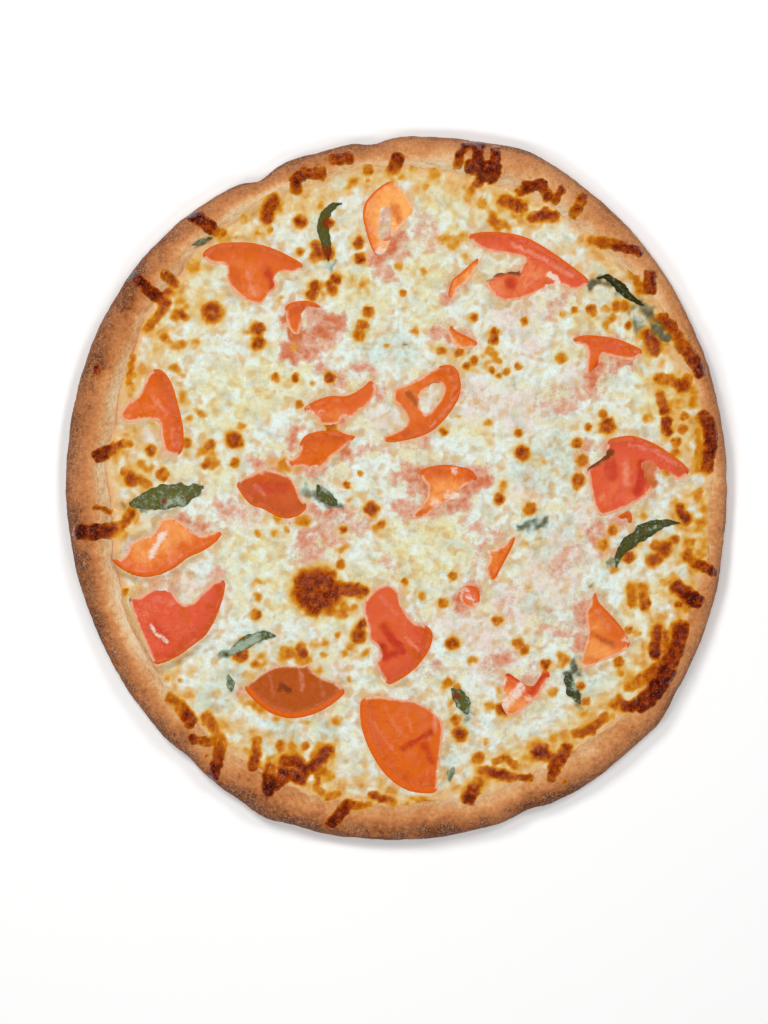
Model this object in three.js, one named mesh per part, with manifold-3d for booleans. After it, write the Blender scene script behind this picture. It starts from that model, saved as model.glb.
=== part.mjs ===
// Margherita pizza, whole and uncut, lying flat. A puffy baked crust holds a sheet of melted
// cheese with browned shreds, tomato slices and wilted basil leaves sunk into its top.
// Millimetres, +Z up. The origin is the middle of the flat underside.

import * as THREE from 'three';
import { mergeVertices } from 'three/addons/utils/BufferGeometryUtils.js';
import Module from 'manifold-3d';

const wasm = await Module();
wasm.setup();

// Sizes of the crust
const CRUST_RADIUS = 178.7;
const CRUST_WAVES = [
  { count: 1, swing: 1.2, peak: -24 },
  { count: 2, swing: 5.5, peak: 91 },
  { count: 3, swing: 1.4, peak: 57 },
  { count: 4, swing: 1.6, peak: 58 },
  { count: 6, swing: 0.7, peak: 13 },
];
const CRUST_BUMPS = [
  { at: 68, reach: 2.4, width: 6 },
  { at: 94, reach: -1.8, width: 2.5 },
  { at: 114, reach: -3.4, width: 3 },
  { at: 232, reach: -1.6, width: 3 },
  { at: 248, reach: 1.6, width: 4 },
  { at: 292, reach: -1.6, width: 3 },
  { at: 318, reach: 1.6, width: 4 },
];
const BASE_THICKNESS = 6.5;
const WAIST_HEIGHT = 8;
const UNDER_ROUND = 8;
const RIM_LOW = 14;
const RIM_RISE = 0.18;
const PUFFS = [
  { count: 7, swing: 0.7, peak: 20 },
  { count: 12, swing: 0.6, peak: 11 },
  { count: 19, swing: 0.5, peak: 4 },
];
const CROWN_INSET = 4;
const CROWN_SHIFT = 0.35;
const INNER_RUN = 18;
const FOOT_COVER = 8;
const UNDER_TURNS = [0, 35, 65];
const SHOULDER_TURNS = [0, 25, 50, 72];

// Sizes of the cheese
const CHEESE_RADIUS = 161.9;
const CHEESE_WAVES = [
  { count: 1, swing: 5.3, peak: 5 },
  { count: 2, swing: 4.7, peak: 91 },
  { count: 3, swing: 1.5, peak: 112 },
  { count: 4, swing: 0.7, peak: 50 },
  { count: 13, swing: 0.8, peak: 9 },
  { count: 23, swing: 0.9, peak: 3 },
];
const CHEESE_LEVEL = 12;
const CHEESE_SKIN = 1.6;
const CHEESE_EDGE = 1.2;
const EDGE_TUCK = 0.8;
const BLEND_WIDTH = 1.2;
const LUMPS = [
  { across: 0.11, along: 0.03, shift: 1.3, swing: 0.35 },
  { across: -0.05, along: 0.13, shift: 0.4, swing: 0.3 },
  { across: 0.16, along: 0.12, shift: 2.2, swing: 0.22 },
  { across: 0.14, along: -0.17, shift: 4.1, swing: 0.2 },
];
const GAP = 0.3;

// Mesh fineness: each ring of points on the cheese's top holds one point more per sector than the
// ring inside it
const SECTORS = 6;
const RING_COUNT = 16;
const SEGMENTS = SECTORS * RING_COUNT;

// Sizes of the tomato slices
const SLICE_THICKNESS = 4;
const SLICE_PROUD = 1;
const SLICE_CLEARANCE = 0.9;
const SHORTEST_RUN = 5;
const POCKET_GAP = 0.35;
const POCKET_HEIGHT = 20;
const SHARPEST = 0.25;

// Tomato slices, plan view: the points that the round skin side passes through, then those of the
// side left by the knife and the cheese, and the outline of a bay of cheese that the flesh encloses
const SLICES = [
  {
    skin: [[-102, 121], [-95, 126], [-86, 127.3], [-76, 127.2], [-67, 125.2], [-58, 121.5], [-47, 115.3]],
    cut: [[-53, 110.5], [-60, 111.3], [-63, 108.5], [-61, 104.5], [-66, 99.8], [-69, 94.8], [-76, 94.8],
      [-85, 101.5], [-89.5, 108], [-88, 115.5], [-97, 115.5]],
  },
  {
    skin: [[-3, 160], [-11, 155], [-17, 148], [-18.3, 141], [-16, 132], [-14, 125], [-11, 120]],
    cut: [[-6, 121], [-2, 130], [4, 137], [10, 141], [8, 148], [3, 155]],
    bay: [[-6, 146], [-8.5, 138], [-8, 129], [-4, 128], [-4, 138]],
  },
  {
    skin: [[36, 131], [43, 132.8], [52, 132.9], [60, 132], [67.5, 130], [75, 126], [83, 120.8], [91, 115],
      [101, 107.2]],
    cut: [[97, 103.5], [91.5, 101.5], [86, 105], [79, 104], [73, 100.5], [64, 97], [55, 96], [50, 99],
      [44.8, 106.8], [50, 110.5], [57, 113], [63, 111.5], [64, 116], [67, 118.5], [59, 120.3], [49, 121.7],
      [41, 124.5]],
  },
  {
    skin: [[42.5, 120], [38.5, 116.8], [34, 112.3], [27.8, 107.7], [26, 99]],
    cut: [[28.5, 97.8], [31, 102], [36.5, 105.8], [40.3, 110.5], [42.5, 116]],
  },
  {
    skin: [[90.5, 77.5], [96, 79.3], [104, 79], [112, 78], [119.5, 75.5], [128.8, 71]],
    cut: [[123.5, 65], [112, 67.3], [106, 69], [106.5, 61], [102.5, 51.5], [99, 52], [97.5, 59], [98.8, 73],
      [93, 74]],
  },
  {
    skin: [[109.5, 25], [114.5, 26.5], [121.5, 27.3], [129, 25.2], [136, 21.8], [143, 17], [149, 12.4],
      [152.7, 8.4]],
    cut: [[146.5, 2.3], [140.5, 7], [135, 7.3], [130.5, 13.5], [132.5, 7], [133.5, 1], [131, -4], [122.5, -9],
      [110, -14.8], [104, -15], [100.5, -5], [99, 6], [98, 10], [107, 15.5], [108.5, 21]],
  },
  {
    skin: [[113.5, -15.3], [117, -13.2], [120.5, -11.5], [122.2, -14], [122, -19.5]],
    cut: [[118, -17]],
  },
  {
    skin: [[-124.5, 62.3], [-119.7, 59.5], [-115.8, 52.3], [-113.7, 44.3], [-111.3, 35], [-110.3, 27],
      [-111, 18]],
    cut: [[-115, 16], [-121, 18], [-123, 26], [-123, 34], [-130, 35.2], [-139, 32.8], [-144.5, 36],
      [-141, 44], [-135, 46.8], [-132.3, 52], [-129.5, 59]],
  },
  {
    skin: [[-58.5, 94.5], [-53, 96.8], [-47, 97.2], [-42, 96], [-37, 92.3]],
    cut: [[-41, 93.2], [-45.5, 93], [-47.5, 89], [-49.5, 84], [-50, 79.3], [-54, 79], [-57, 83], [-58, 89]],
  },
  {
    skin: [[-48.5, 42], [-42, 45.5], [-34.5, 48], [-27, 47.3], [-21.5, 49.5], [-16.5, 53], [-13.8, 56.3]],
    cut: [[-9.7, 52], [-12, 46], [-16, 41], [-20.5, 39], [-24, 34.5], [-28, 37], [-30, 32.4], [-39.5, 31.7],
      [-42, 36.5], [-48, 39.5]],
  },
  {
    skin: [[-50.5, 24], [-47, 28], [-39, 29.7], [-31, 29.8], [-26, 27.5], [-20.5, 26.8]],
    cut: [[-25, 22.5], [-30, 17.8], [-33.5, 16], [-36, 12], [-43, 7.5], [-48, 10.5], [-51.5, 10.5],
      [-55, 9], [-59.5, 14.5], [-53.5, 15.8], [-50.8, 19]],
  },
  {
    skin: [[-84, 1.3], [-80.5, -4], [-76, -9.5], [-70, -11], [-64, -14.5], [-57, -16.8], [-50, -14.5],
      [-46, -10]],
    cut: [[-50, -4.5], [-51.5, 1], [-54.5, 5.5], [-59, 7.5], [-64, 9.5], [-70.5, 10], [-76, 6.8],
      [-80.5, 5.5]],
  },
  {
    skin: [[24, 64], [29, 63.7], [32.3, 60], [33.5, 53.5], [32.5, 46.5], [29, 40.5], [23.5, 33.5],
      [17, 28], [9, 25.2], [-5.5, 22.5]],
    cut: [[-7.8, 27], [-1, 29.5], [4, 32], [5, 35.5], [1.5, 41.5], [-2.5, 44.5], [-2.5, 52], [5, 54],
      [12, 57.5], [18, 61.5]],
    bay: [[18, 51.7], [22.5, 54], [24, 51], [21.5, 45], [15, 37.5], [12.3, 42], [12.3, 48.5]],
  },
  {
    skin: [[11.5, 8.5], [17, 11.3], [25, 12.3], [33, 11], [39, 9.5], [42.5, 4.5]],
    cut: [[38, 1.5], [33.5, 0], [33.5, -6], [27, -7], [21, -10.5], [15, -16], [7.5, -17], [8, -13],
      [15, -6.5], [16, 0], [13, 4]],
    sunk: 0.6,
  },
  {
    skin: [[27.5, 85.5], [31, 80.8], [36.5, 78.8], [42.8, 75]],
    cut: [[39, 72], [33.5, 71.3], [29, 74], [26.5, 78.5]],
  },
  {
    skin: [[62, -24.8], [60.5, -30], [57, -36.5], [53.5, -43], [51, -48.5]],
    cut: [[46.8, -47], [45.5, -42], [48, -37], [45.5, -32.5], [53, -31], [57.5, -27.5]],
    sunk: 0.4,
  },
  {
    skin: [[32, -53], [36, -50.5], [42, -51.5], [43.5, -57]],
    cut: [[42.5, -62.5], [36, -63], [32.5, -59]],
    sunk: 0.8,
  },
  {
    skin: [[103, -53], [104.5, -59.5], [110, -64.7], [115, -70.2], [119, -75.7], [121.8, -81.5]],
    cut: [[117, -86.5], [108, -89.8], [101, -93.7], [95.5, -93], [94.5, -88.5], [97.8, -82], [98.8, -73],
      [97, -65.5], [100.5, -59]],
  },
  {
    skin: [[-148.5, -37], [-144, -41.5], [-137, -45.5], [-130, -46.8], [-121, -45], [-113.5, -40.8],
      [-108.5, -36.3], [-100, -33], [-93.5, -28.3], [-90, -23.5]],
    cut: [[-94, -22.3], [-101, -25], [-106.5, -22], [-111, -17.8], [-117, -14.3], [-123, -16.5],
      [-125.5, -23.5], [-132, -25.5], [-138.5, -28.5], [-140, -34.5], [-144, -37.3]],
  },
  {
    skin: [[-88.5, -48], [-89.5, -55.5], [-92, -63.5], [-95, -70.5], [-99, -77], [-107, -83], [-114, -88.2],
      [-125, -92.6]],
    cut: [[-128, -87.5], [-131, -80], [-135, -71], [-138, -62], [-139.8, -56.5], [-133, -56.5],
      [-129.5, -53.5], [-119.5, -48.8], [-116.3, -53], [-111.5, -60], [-107, -60], [-101.5, -54.5],
      [-94.5, -47.6]],
  },
  {
    skin: [[-80, -104.5], [-73, -112], [-66, -117.5], [-56, -120.3], [-47, -119.2], [-38, -115.7],
      [-30.5, -110.5], [-26, -105.8]],
    cut: [[-31, -101], [-40, -97.7], [-44, -94.3], [-45.8, -90.8], [-50, -92.5], [-60, -91.2],
      [-69, -94.5], [-77, -101]],
  },
  {
    skin: [[17, -71.8], [19.2, -77], [17.5, -83.5], [13, -90.3], [8, -95.7], [1.5, -100], [-4.6, -103]],
    cut: [[-8, -98.5], [-12.3, -91], [-9, -88], [-10, -83.3], [-15, -79.5], [-15.5, -72], [-18.8, -62.5],
      [-14.5, -54.5], [-9, -50.8], [-4, -49.7], [1, -53], [2, -58.5], [6, -66], [10, -70.3]],
  },
  {
    skin: [[-19, -109.3], [-19.5, -116], [-18.8, -124.5], [-16, -133], [-12, -141], [-6.5, -149],
      [0.5, -155], [8.5, -158.5], [21.5, -159]],
    cut: [[21.8, -148], [24, -133], [24.8, -124.5], [22.5, -118.5], [17, -113.8], [9, -110], [0, -109.3],
      [-10, -107.5]],
  },
  {
    skin: [[56.5, -95], [62, -98.5], [67, -102.5], [71, -103], [74, -98], [76.5, -93.5], [80.5, -97]],
    cut: [[77, -102.5], [73.5, -109], [67, -115], [59, -120], [54, -115], [53.5, -104]],
    sunk: 0.6,
  },
];

// Wilted basil leaves: the line down the middle of each, and half its greatest width
const LEAF_THICKNESS = 0.6;
const LEAF_RISE = 0.5;
const LEAF_RIPPLE = 0.45;
const RIPPLE_ALONG = 2.4;
const RIPPLE_ACROSS = 1.9;
const LEAF_STEPS = 5;
const LEAF_TIP = 0.25;
const LEAVES = [
  {
    half: 3,
    spine: [[-28.8, 147.3], [-33, 146.3], [-37.2, 142], [-38.8, 136], [-37.5, 130], [-36, 124],
      [-35.5, 117.5]],
  },
  { half: 1.3, spine: [[-106, 125.6], [-101, 126.9], [-95.5, 129.5]] },
  { half: 2.4, spine: [[103.4, 108.4], [109, 109.6], [114, 105.5], [120, 99.5], [127.7, 94.5]] },
  { half: 3.2, spine: [[-41, 1.5], [-39.5, -2.5], [-36, -5.5], [-31, -9]] },
  { half: 6.5, spine: [[-139, -8.6], [-130, -6.8], [-120, -4.6], [-110, -3.6], [-100.5, 0.5]] },
  {
    half: 3.6,
    spine: [[146.5, -18.5], [139, -18.2], [132, -20.6], [125, -25], [118.5, -30], [115, -35],
      [113.5, -41.5]],
  },
  { half: 3, spine: [[-63, -77], [-69, -76.5], [-76, -79], [-83, -83.5], [-89, -87]] },
  { half: 2, spine: [[-87.5, -97], [-86.5, -101.5], [-86, -106]] },
  { half: 3.6, spine: [[28, -104.5], [32, -108], [34.5, -112], [36.5, -117.5]] },
  { half: 1.6, spine: [[27.4, -152.5], [27.6, -148.5], [29.5, -145]] },
  { half: 3.2, spine: [[87.5, -95.5], [89, -99], [90, -103.5], [92.5, -108], [95, -112.5]] },
];

// Browned shreds of cheese that stand out near and on the rim: the line of each and half its width
const SHRED_HEIGHT = 1.5;
const SHRED_STEP = 7;
const SHRED_REST = 0.4;
const SHRED_ROOT = 1.5;
const SHRED_TIP = 0.45;
const SHRED_SHOULDER = 0.62;
const SHREDS = [
  { half: 2.8, line: [[-92, 131], [-99, 136], [-106.5, 141]] },
  { half: 2.8, line: [[-119, 94], [-127, 101], [-137, 109.7]] },
  { half: 3, line: [[-139, 26], [-145, 20], [-154, 17]] },
  { half: 3.8, line: [[-139, -15], [-147, -21], [-166, -23.3]] },
  { half: 3.4, line: [[-88, -126], [-92, -137], [-97, -150]] },
  { half: 3, line: [[-20, -158], [-27, -166], [-34, -173.5]] },
  { half: 4, line: [[33, -158], [40, -155], [52, -150]] },
  { half: 4, line: [[76, -134], [84, -139], [91, -144]] },
  { half: 3.2, line: [[89, -131], [97, -126], [107, -119]] },
  { half: 5, line: [[115, -112], [124, -114], [131, -113], [135, -106]] },
  { half: 5.5, line: [[136, -107], [141, -96], [147, -84], [151, -73]] },
  { half: 3, line: [[152, -33], [157, -38], [164, -43]] },
  { half: 3.4, line: [[146, -62], [150, -57], [156, -53]] },
  { half: 3.2, line: [[158, 4], [162, 14], [163, 26], [162, 36]] },
  { half: 3, line: [[133, 91], [141, 83], [146, 73], [152, 65], [157, 58]] },
  { half: 3.8, line: [[130, 99], [131, 104], [132, 110]] },
  { half: 3.2, line: [[98, 131], [108, 129], [116, 126], [123, 123]] },
  { half: 3.2, line: [[36, 154], [33, 165], [34.5, 174]] },
  { half: 3.4, line: [[44, 157], [43.5, 167], [44, 176]] },
  { half: 3, line: [[49, 156], [51, 165], [51.5, 173]] },
  { half: 3.6, line: [[64, 153], [70, 157], [77, 158], [78, 151]] },
  { half: 2.4, line: [[80, 146], [84, 151], [86, 157]] },
  { half: 3, line: [[86, 136], [91, 144], [95, 152]] },
  { half: 4, line: [[53, 147], [61, 146], [68, 143]] },
  { half: 3.4, line: [[71, 138], [76, 141], [83, 142]] },
  { half: 3.2, line: [[-4, 163], [-2, 169], [-1, 174]] },
  { half: 3.4, line: [[-53, 153], [-50, 159], [-43, 163], [-37, 163]] },
  { half: 3, line: [[-35, 161], [-31, 168], [-22, 170.5]] },
];

const FINISHES = {
  crust: { color: 0xd2a878, roughness: 0.85, metalness: 0 },
  cheese: { color: 0xeae4c4, roughness: 0.45, metalness: 0 },
  tomato: { color: 0xe0633c, roughness: 0.3, metalness: 0 },
  basil: { color: 0x46552f, roughness: 0.5, metalness: 0 },
};

const FULL_TURN = 2 * Math.PI;
const radians = THREE.MathUtils.degToRad;

// A radius that varies round the pizza as a sum of waves and local bumps
function wavy(mean, waves, bumps, angle) {
  let value = mean;
  for (const { count, swing, peak } of waves) {
    value += swing * Math.cos(count * (angle - radians(peak)));
  }
  for (const { at, reach, width } of bumps) {
    const away = THREE.MathUtils.euclideanModulo(angle - radians(at) + Math.PI, FULL_TURN) - Math.PI;
    value += reach * Math.exp(-((away / radians(width)) ** 2));
  }
  return value;
}

const crustEdge = (angle) => wavy(CRUST_RADIUS, CRUST_WAVES, CRUST_BUMPS, angle);
const cheeseEdge = (angle) => wavy(CHEESE_RADIUS, CHEESE_WAVES, [], angle);

// The rim is wider and taller where the cheese leaves more of it bare
function rimSection(angle) {
  const outer = crustEdge(angle);
  const covered = cheeseEdge(angle);
  const bare = outer - covered;
  const crown = outer - CROWN_INSET - CROWN_SHIFT * bare;
  const foot = Math.min(crown - INNER_RUN, covered - FOOT_COVER);
  const height = wavy(RIM_LOW + RIM_RISE * bare, PUFFS, [], angle);
  return { outer, covered, crown, foot, height };
}

// Height of the dough: a quarter ellipse outside the crown, half a cosine wave inside it
function crustTop(radius, angle) {
  const { outer, crown, foot, height } = rimSection(angle);
  if (radius > crown) {
    const along = Math.min((radius - crown) / (outer - crown), 1);
    return WAIST_HEIGHT + (height - WAIST_HEIGHT) * Math.sqrt(1 - along * along);
  }
  const fall = Math.min((crown - radius) / (crown - foot), 1);
  return BASE_THICKNESS + ((height - BASE_THICKNESS) * (1 + Math.cos(Math.PI * fall))) / 2;
}

// Height of the cheese: level with low lumps, and draped over the rim's inner slope
function cheeseTop(x, y) {
  let level = CHEESE_LEVEL;
  for (const { across, along, shift, swing } of LUMPS) {
    level += swing * Math.sin(across * x + along * y + shift);
  }
  const draped = crustTop(Math.hypot(x, y), Math.atan2(y, x)) + CHEESE_SKIN;
  const overlap = Math.max(BLEND_WIDTH - Math.abs(level - draped), 0);
  return Math.max(level, draped) + (overlap * overlap) / (4 * BLEND_WIDTH);
}

// A closed mesh collected point by point and triangle by triangle
class ShellBuilder {
  constructor() {
    this.points = [];
    this.faces = [];
  }

  point(x, y, z) {
    this.points.push(x, y, z);
    return this.points.length / 3 - 1;
  }

  // A ring of points, one per angle step, from a function that gives radius and height
  ring(count, at) {
    const indices = [];
    for (let step = 0; step < count; step += 1) {
      const angle = (FULL_TURN * step) / count;
      const [radius, z] = at(angle);
      indices.push(this.point(radius * Math.cos(angle), radius * Math.sin(angle), z));
    }
    return indices;
  }

  // Faces between two rings of as many points, facing away from the profile's inner side
  band(lower, upper) {
    const count = lower.length;
    for (let step = 0; step < count; step += 1) {
      const next = (step + 1) % count;
      this.faces.push(lower[step], upper[next], upper[step]);
      this.faces.push(lower[step], lower[next], upper[next]);
    }
  }

  underCap(ring, z) {
    const centre = this.point(0, 0, z);
    ring.forEach((corner, step) => {
      this.faces.push(centre, ring[(step + 1) % ring.length], corner);
    });
  }

  topCap(ring, z) {
    const centre = this.point(0, 0, z);
    ring.forEach((corner, step) => {
      this.faces.push(centre, corner, ring[(step + 1) % ring.length]);
    });
  }

  // Faces between a ring of points and the ring inside it, which has one point less per sector
  weave(outer, inner) {
    const level = outer.length / SECTORS;
    for (let sector = 0; sector < SECTORS; sector += 1) {
      for (let step = 0; step < level; step += 1) {
        const a = outer[sector * level + step];
        const b = outer[(sector * level + step + 1) % outer.length];
        const c = inner[(sector * (level - 1) + step) % inner.length];
        this.faces.push(c, a, b);
        if (step < level - 1) {
          const d = inner[(sector * (level - 1) + step + 1) % inner.length];
          this.faces.push(c, b, d);
        }
      }
    }
  }

  geometry() {
    const result = new THREE.BufferGeometry();
    result.setAttribute('position', new THREE.Float32BufferAttribute(this.points, 3));
    result.setIndex(this.faces);
    return result;
  }
}

// Where the cheese stops, the dough has a ring of its own, so that both surfaces run parallel
const tuckedEdge = (section) => section.covered - EDGE_TUCK;

const crustProfile = [
  ...UNDER_TURNS.map((turn) => ({ outer }) => [
    outer - UNDER_ROUND * (1 - Math.sin(radians(turn))),
    WAIST_HEIGHT * (1 - Math.cos(radians(turn))),
  ]),
  ...SHOULDER_TURNS.map((turn) => ({ outer, crown, height }) => [
    crown + (outer - crown) * Math.cos(radians(turn)),
    WAIST_HEIGHT + (height - WAIST_HEIGHT) * Math.sin(radians(turn)),
  ]),
];
const slopeStops = [
  (section) => section.crown,
  (section) => (section.crown + tuckedEdge(section)) / 2,
  tuckedEdge,
  (section) => (tuckedEdge(section) + section.foot) / 2,
  (section) => section.foot,
];

function crustGeometry() {
  const shell = new ShellBuilder();
  const rings = crustProfile.map((at) => shell.ring(SEGMENTS, (angle) => at(rimSection(angle))));
  for (const stop of slopeStops) {
    rings.push(shell.ring(SEGMENTS, (angle) => {
      const radius = stop(rimSection(angle));
      return [radius, crustTop(radius, angle)];
    }));
  }
  shell.underCap(rings[0], 0);
  for (let index = 1; index < rings.length; index += 1) {
    shell.band(rings[index - 1], rings[index]);
  }
  shell.topCap(rings.at(-1), BASE_THICKNESS);
  return shell.geometry();
}

// The cheese sheet: its underside follows the dough, its top is a disc of even triangles
function cheeseSheetGeometry() {
  const shell = new ShellBuilder();
  const underStops = slopeStops.slice(2).reverse();
  const rings = underStops.map((stop) => shell.ring(SEGMENTS, (angle) => {
    const radius = stop(rimSection(angle));
    return [radius, crustTop(radius, angle) + GAP];
  }));
  rings.push(shell.ring(SEGMENTS, (angle) => {
    const radius = cheeseEdge(angle);
    return [radius, crustTop(radius, angle) + CHEESE_SKIN / 2];
  }));
  shell.underCap(rings[0], BASE_THICKNESS + GAP);
  for (let level = RING_COUNT; level > 0; level -= 1) {
    const ring = shell.ring(SECTORS * level, (angle) => {
      const radius = ((cheeseEdge(angle) - CHEESE_EDGE) * level) / RING_COUNT;
      return [radius, cheeseTop(radius * Math.cos(angle), radius * Math.sin(angle))];
    });
    if (level < RING_COUNT) shell.weave(rings.at(-1), ring);
    rings.push(ring);
  }
  for (let index = 1; index <= underStops.length + 1; index += 1) {
    shell.band(rings[index - 1], rings[index]);
  }
  shell.topCap(rings.at(-1), cheeseTop(0, 0));
  return shell.geometry();
}

// A closed outline in counter-clockwise order
function closedOutline(corners) {
  const points = corners.map(([x, y]) => new THREE.Vector2(x, y));
  return THREE.ShapeUtils.isClockWise(points) ? points.reverse() : points;
}

// An outline whose edges all move outwards by the distance, each corner along its own mitre
function grown(points, distance) {
  return points.map((point, index) => {
    const arriving = point.clone().sub(points.at(index - 1)).normalize();
    const leaving = points[(index + 1) % points.length].clone().sub(point).normalize();
    const sharpness = Math.max(1 + arriving.dot(leaving), SHARPEST);
    const reach = distance / sharpness;
    return new THREE.Vector2(
      point.x + (arriving.y + leaving.y) * reach,
      point.y - (arriving.x + leaving.x) * reach,
    );
  });
}

// The plan of a slice, or of its pocket in the cheese, grown by the distance all round
function plateShape(outline, bay, distance) {
  const shape = new THREE.Shape(grown(outline, distance));
  if (bay.length > 0) shape.holes.push(new THREE.Path(grown(bay, -distance)));
  return shape;
}

// How a slice lies: level in the cheese, or tilted about its inner end to clear the rim's slope
function sliceSeat(outline, sunk) {
  const middle = outline.reduce((sum, point) => sum.add(point), new THREE.Vector2());
  middle.divideScalar(outline.length);
  const outward = middle.clone().normalize();
  const reaches = outline.map((point) => point.clone().sub(middle).dot(outward));
  const inner = Math.min(...reaches);
  const rest = CHEESE_LEVEL + SLICE_PROUD - SLICE_THICKNESS - sunk;
  let slope = 0;
  outline.forEach((point, index) => {
    const dough = crustTop(point.length(), Math.atan2(point.y, point.x));
    const run = Math.max(reaches[index] - inner, SHORTEST_RUN);
    slope = Math.max(slope, (dough + SLICE_CLEARANCE - rest) / run);
  });
  const axis = new THREE.Vector3(-outward.y, outward.x, 0);
  const turn = new THREE.Quaternion().setFromAxisAngle(axis, -Math.atan(slope));
  return { middle, height: rest - slope * inner, turn };
}

function placeOnSeat(mesh, seat, drop) {
  mesh.position.set(seat.middle.x, seat.middle.y, seat.height);
  mesh.quaternion.copy(seat.turn);
  mesh.translateZ(-drop);
  mesh.updateMatrix();
}

function sliceMeshes(slice) {
  const outline = closedOutline([...slice.skin, ...slice.cut]);
  const seat = sliceSeat(outline, slice.sunk ?? 0);
  const local = outline.map((point) => point.clone().sub(seat.middle));
  const bay = closedOutline(slice.bay ?? []).map((point) => point.clone().sub(seat.middle));
  const plate = new THREE.ExtrudeGeometry(plateShape(local, bay, 0), {
    depth: SLICE_THICKNESS,
    bevelEnabled: false,
  });
  const piece = new THREE.Mesh(plate, finish('tomato'));
  placeOnSeat(piece, seat, 0);
  const hollow = new THREE.ExtrudeGeometry(plateShape(local, bay, POCKET_GAP), {
    depth: POCKET_HEIGHT,
    bevelEnabled: false,
  });
  const pocket = new THREE.Mesh(hollow);
  placeOnSeat(pocket, seat, POCKET_GAP);
  return { piece, pocket };
}

// A leaf's grid of points: three across, along its middle line, rippling over the cheese
function leafGrid({ spine, half }, widen) {
  const curve = new THREE.SplineCurve(spine.map(([x, y]) => new THREE.Vector2(x, y)));
  const rows = [];
  for (let step = 0; step <= LEAF_STEPS; step += 1) {
    const along = step / LEAF_STEPS;
    const centre = curve.getPointAt(along);
    const heading = curve.getTangentAt(along);
    const width = half * Math.max(Math.sin(Math.PI * along), LEAF_TIP) + widen;
    rows.push([-1, 0, 1].map((side) => {
      const x = centre.x - heading.y * side * width;
      const y = centre.y + heading.x * side * width;
      const ripple = LEAF_RIPPLE * Math.sin(RIPPLE_ALONG * step + RIPPLE_ACROSS * side + half);
      return [x, y, cheeseTop(centre.x, centre.y) + LEAF_RISE + ripple];
    }));
  }
  return rows;
}

// A closed sheet round a grid of points, from so far below it to so far above
function sheetGeometry(rows, below, above) {
  const shell = new ShellBuilder();
  const lower = rows.map((row) => row.map(([x, y, z]) => shell.point(x, y, z - below)));
  const upper = rows.map((row) => row.map(([x, y, z]) => shell.point(x, y, z + above)));
  for (let step = 1; step < rows.length; step += 1) {
    for (let side = 1; side < rows[0].length; side += 1) {
      const [a, b] = [upper[step - 1][side - 1], upper[step - 1][side]];
      const [c, d] = [upper[step][side - 1], upper[step][side]];
      shell.faces.push(a, c, d, a, d, b);
      const [e, f] = [lower[step - 1][side - 1], lower[step - 1][side]];
      const [g, h] = [lower[step][side - 1], lower[step][side]];
      shell.faces.push(e, h, g, e, f, h);
    }
  }
  const border = (grid) => [
    ...grid[0],
    ...grid.slice(1).map((row) => row.at(-1)),
    ...grid.at(-1).slice(0, -1).reverse(),
    ...grid.slice(1, -1).map((row) => row[0]).reverse(),
  ];
  shell.band(border(upper), border(lower));
  return shell.geometry();
}

// A browned shred: a low ridge along its line, its foot still sunk in the dough
function shredGeometry({ line, half }) {
  const curve = new THREE.SplineCurve(line.map(([x, y]) => new THREE.Vector2(x, y)));
  const count = Math.max(Math.round(curve.getLength() / SHRED_STEP), 2);
  const shell = new ShellBuilder();
  const sections = [];
  for (let step = 0; step <= count; step += 1) {
    const along = step / count;
    const centre = curve.getPointAt(along);
    const heading = curve.getTangentAt(along);
    const width = half * Math.sqrt(Math.max(Math.sin(Math.PI * along), SHRED_TIP));
    const radius = centre.length();
    const angle = Math.atan2(centre.y, centre.x);
    const dough = crustTop(radius, angle);
    const surface = radius < cheeseEdge(angle) ? cheeseTop(centre.x, centre.y) : dough;
    const corner = (side, z) => {
      const across = side * width;
      return shell.point(centre.x - heading.y * across, centre.y + heading.x * across, z);
    };
    sections.push([
      corner(-1, dough - SHRED_ROOT),
      corner(1, dough - SHRED_ROOT),
      corner(SHRED_SHOULDER, surface + SHRED_HEIGHT),
      corner(-SHRED_SHOULDER, surface + SHRED_HEIGHT),
    ]);
  }
  for (let step = 1; step <= count; step += 1) {
    shell.band(sections[step - 1], sections[step]);
  }
  const [first, last] = [sections[0], sections.at(-1)];
  for (let corner = 2; corner < first.length; corner += 1) {
    shell.faces.push(first[0], first[corner], first[corner - 1]);
    shell.faces.push(last[0], last[corner - 1], last[corner]);
  }
  return shell.geometry();
}

// A solid for joining and cutting, from a geometry moved by a mesh's matrix
function solidOf(geometry, matrix = new THREE.Matrix4()) {
  const bare = geometry.clone().applyMatrix4(matrix);
  bare.deleteAttribute('normal');
  bare.deleteAttribute('uv');
  const merged = mergeVertices(bare);
  return new wasm.Manifold(new wasm.Mesh({
    numProp: 3,
    vertProperties: new Float32Array(merged.attributes.position.array),
    triVerts: new Uint32Array(merged.index.array),
  }));
}

function geometryOf(solid) {
  const { vertProperties, triVerts } = solid.getMesh();
  const result = new THREE.BufferGeometry();
  result.setAttribute('position', new THREE.Float32BufferAttribute(vertProperties, 3));
  result.setIndex(new THREE.Uint32BufferAttribute(triVerts, 1));
  result.computeVertexNormals();
  return result;
}

function finish(name) {
  return new THREE.MeshStandardMaterial(FINISHES[name]);
}

// The cheese with its browned shreds joined on, hollowed out where slices and leaves lie in it
function cheeseGeometry(pockets) {
  const raisedDough = solidOf(crustGeometry(), new THREE.Matrix4().makeTranslation(0, 0, SHRED_REST));
  let cheese = solidOf(cheeseSheetGeometry());
  for (const shred of SHREDS) {
    cheese = cheese.add(solidOf(shredGeometry(shred)).subtract(raisedDough));
  }
  for (const pocket of pockets) {
    cheese = cheese.subtract(pocket);
  }
  return geometryOf(cheese);
}

function named(mesh, name) {
  mesh.name = name;
  return mesh;
}

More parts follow.
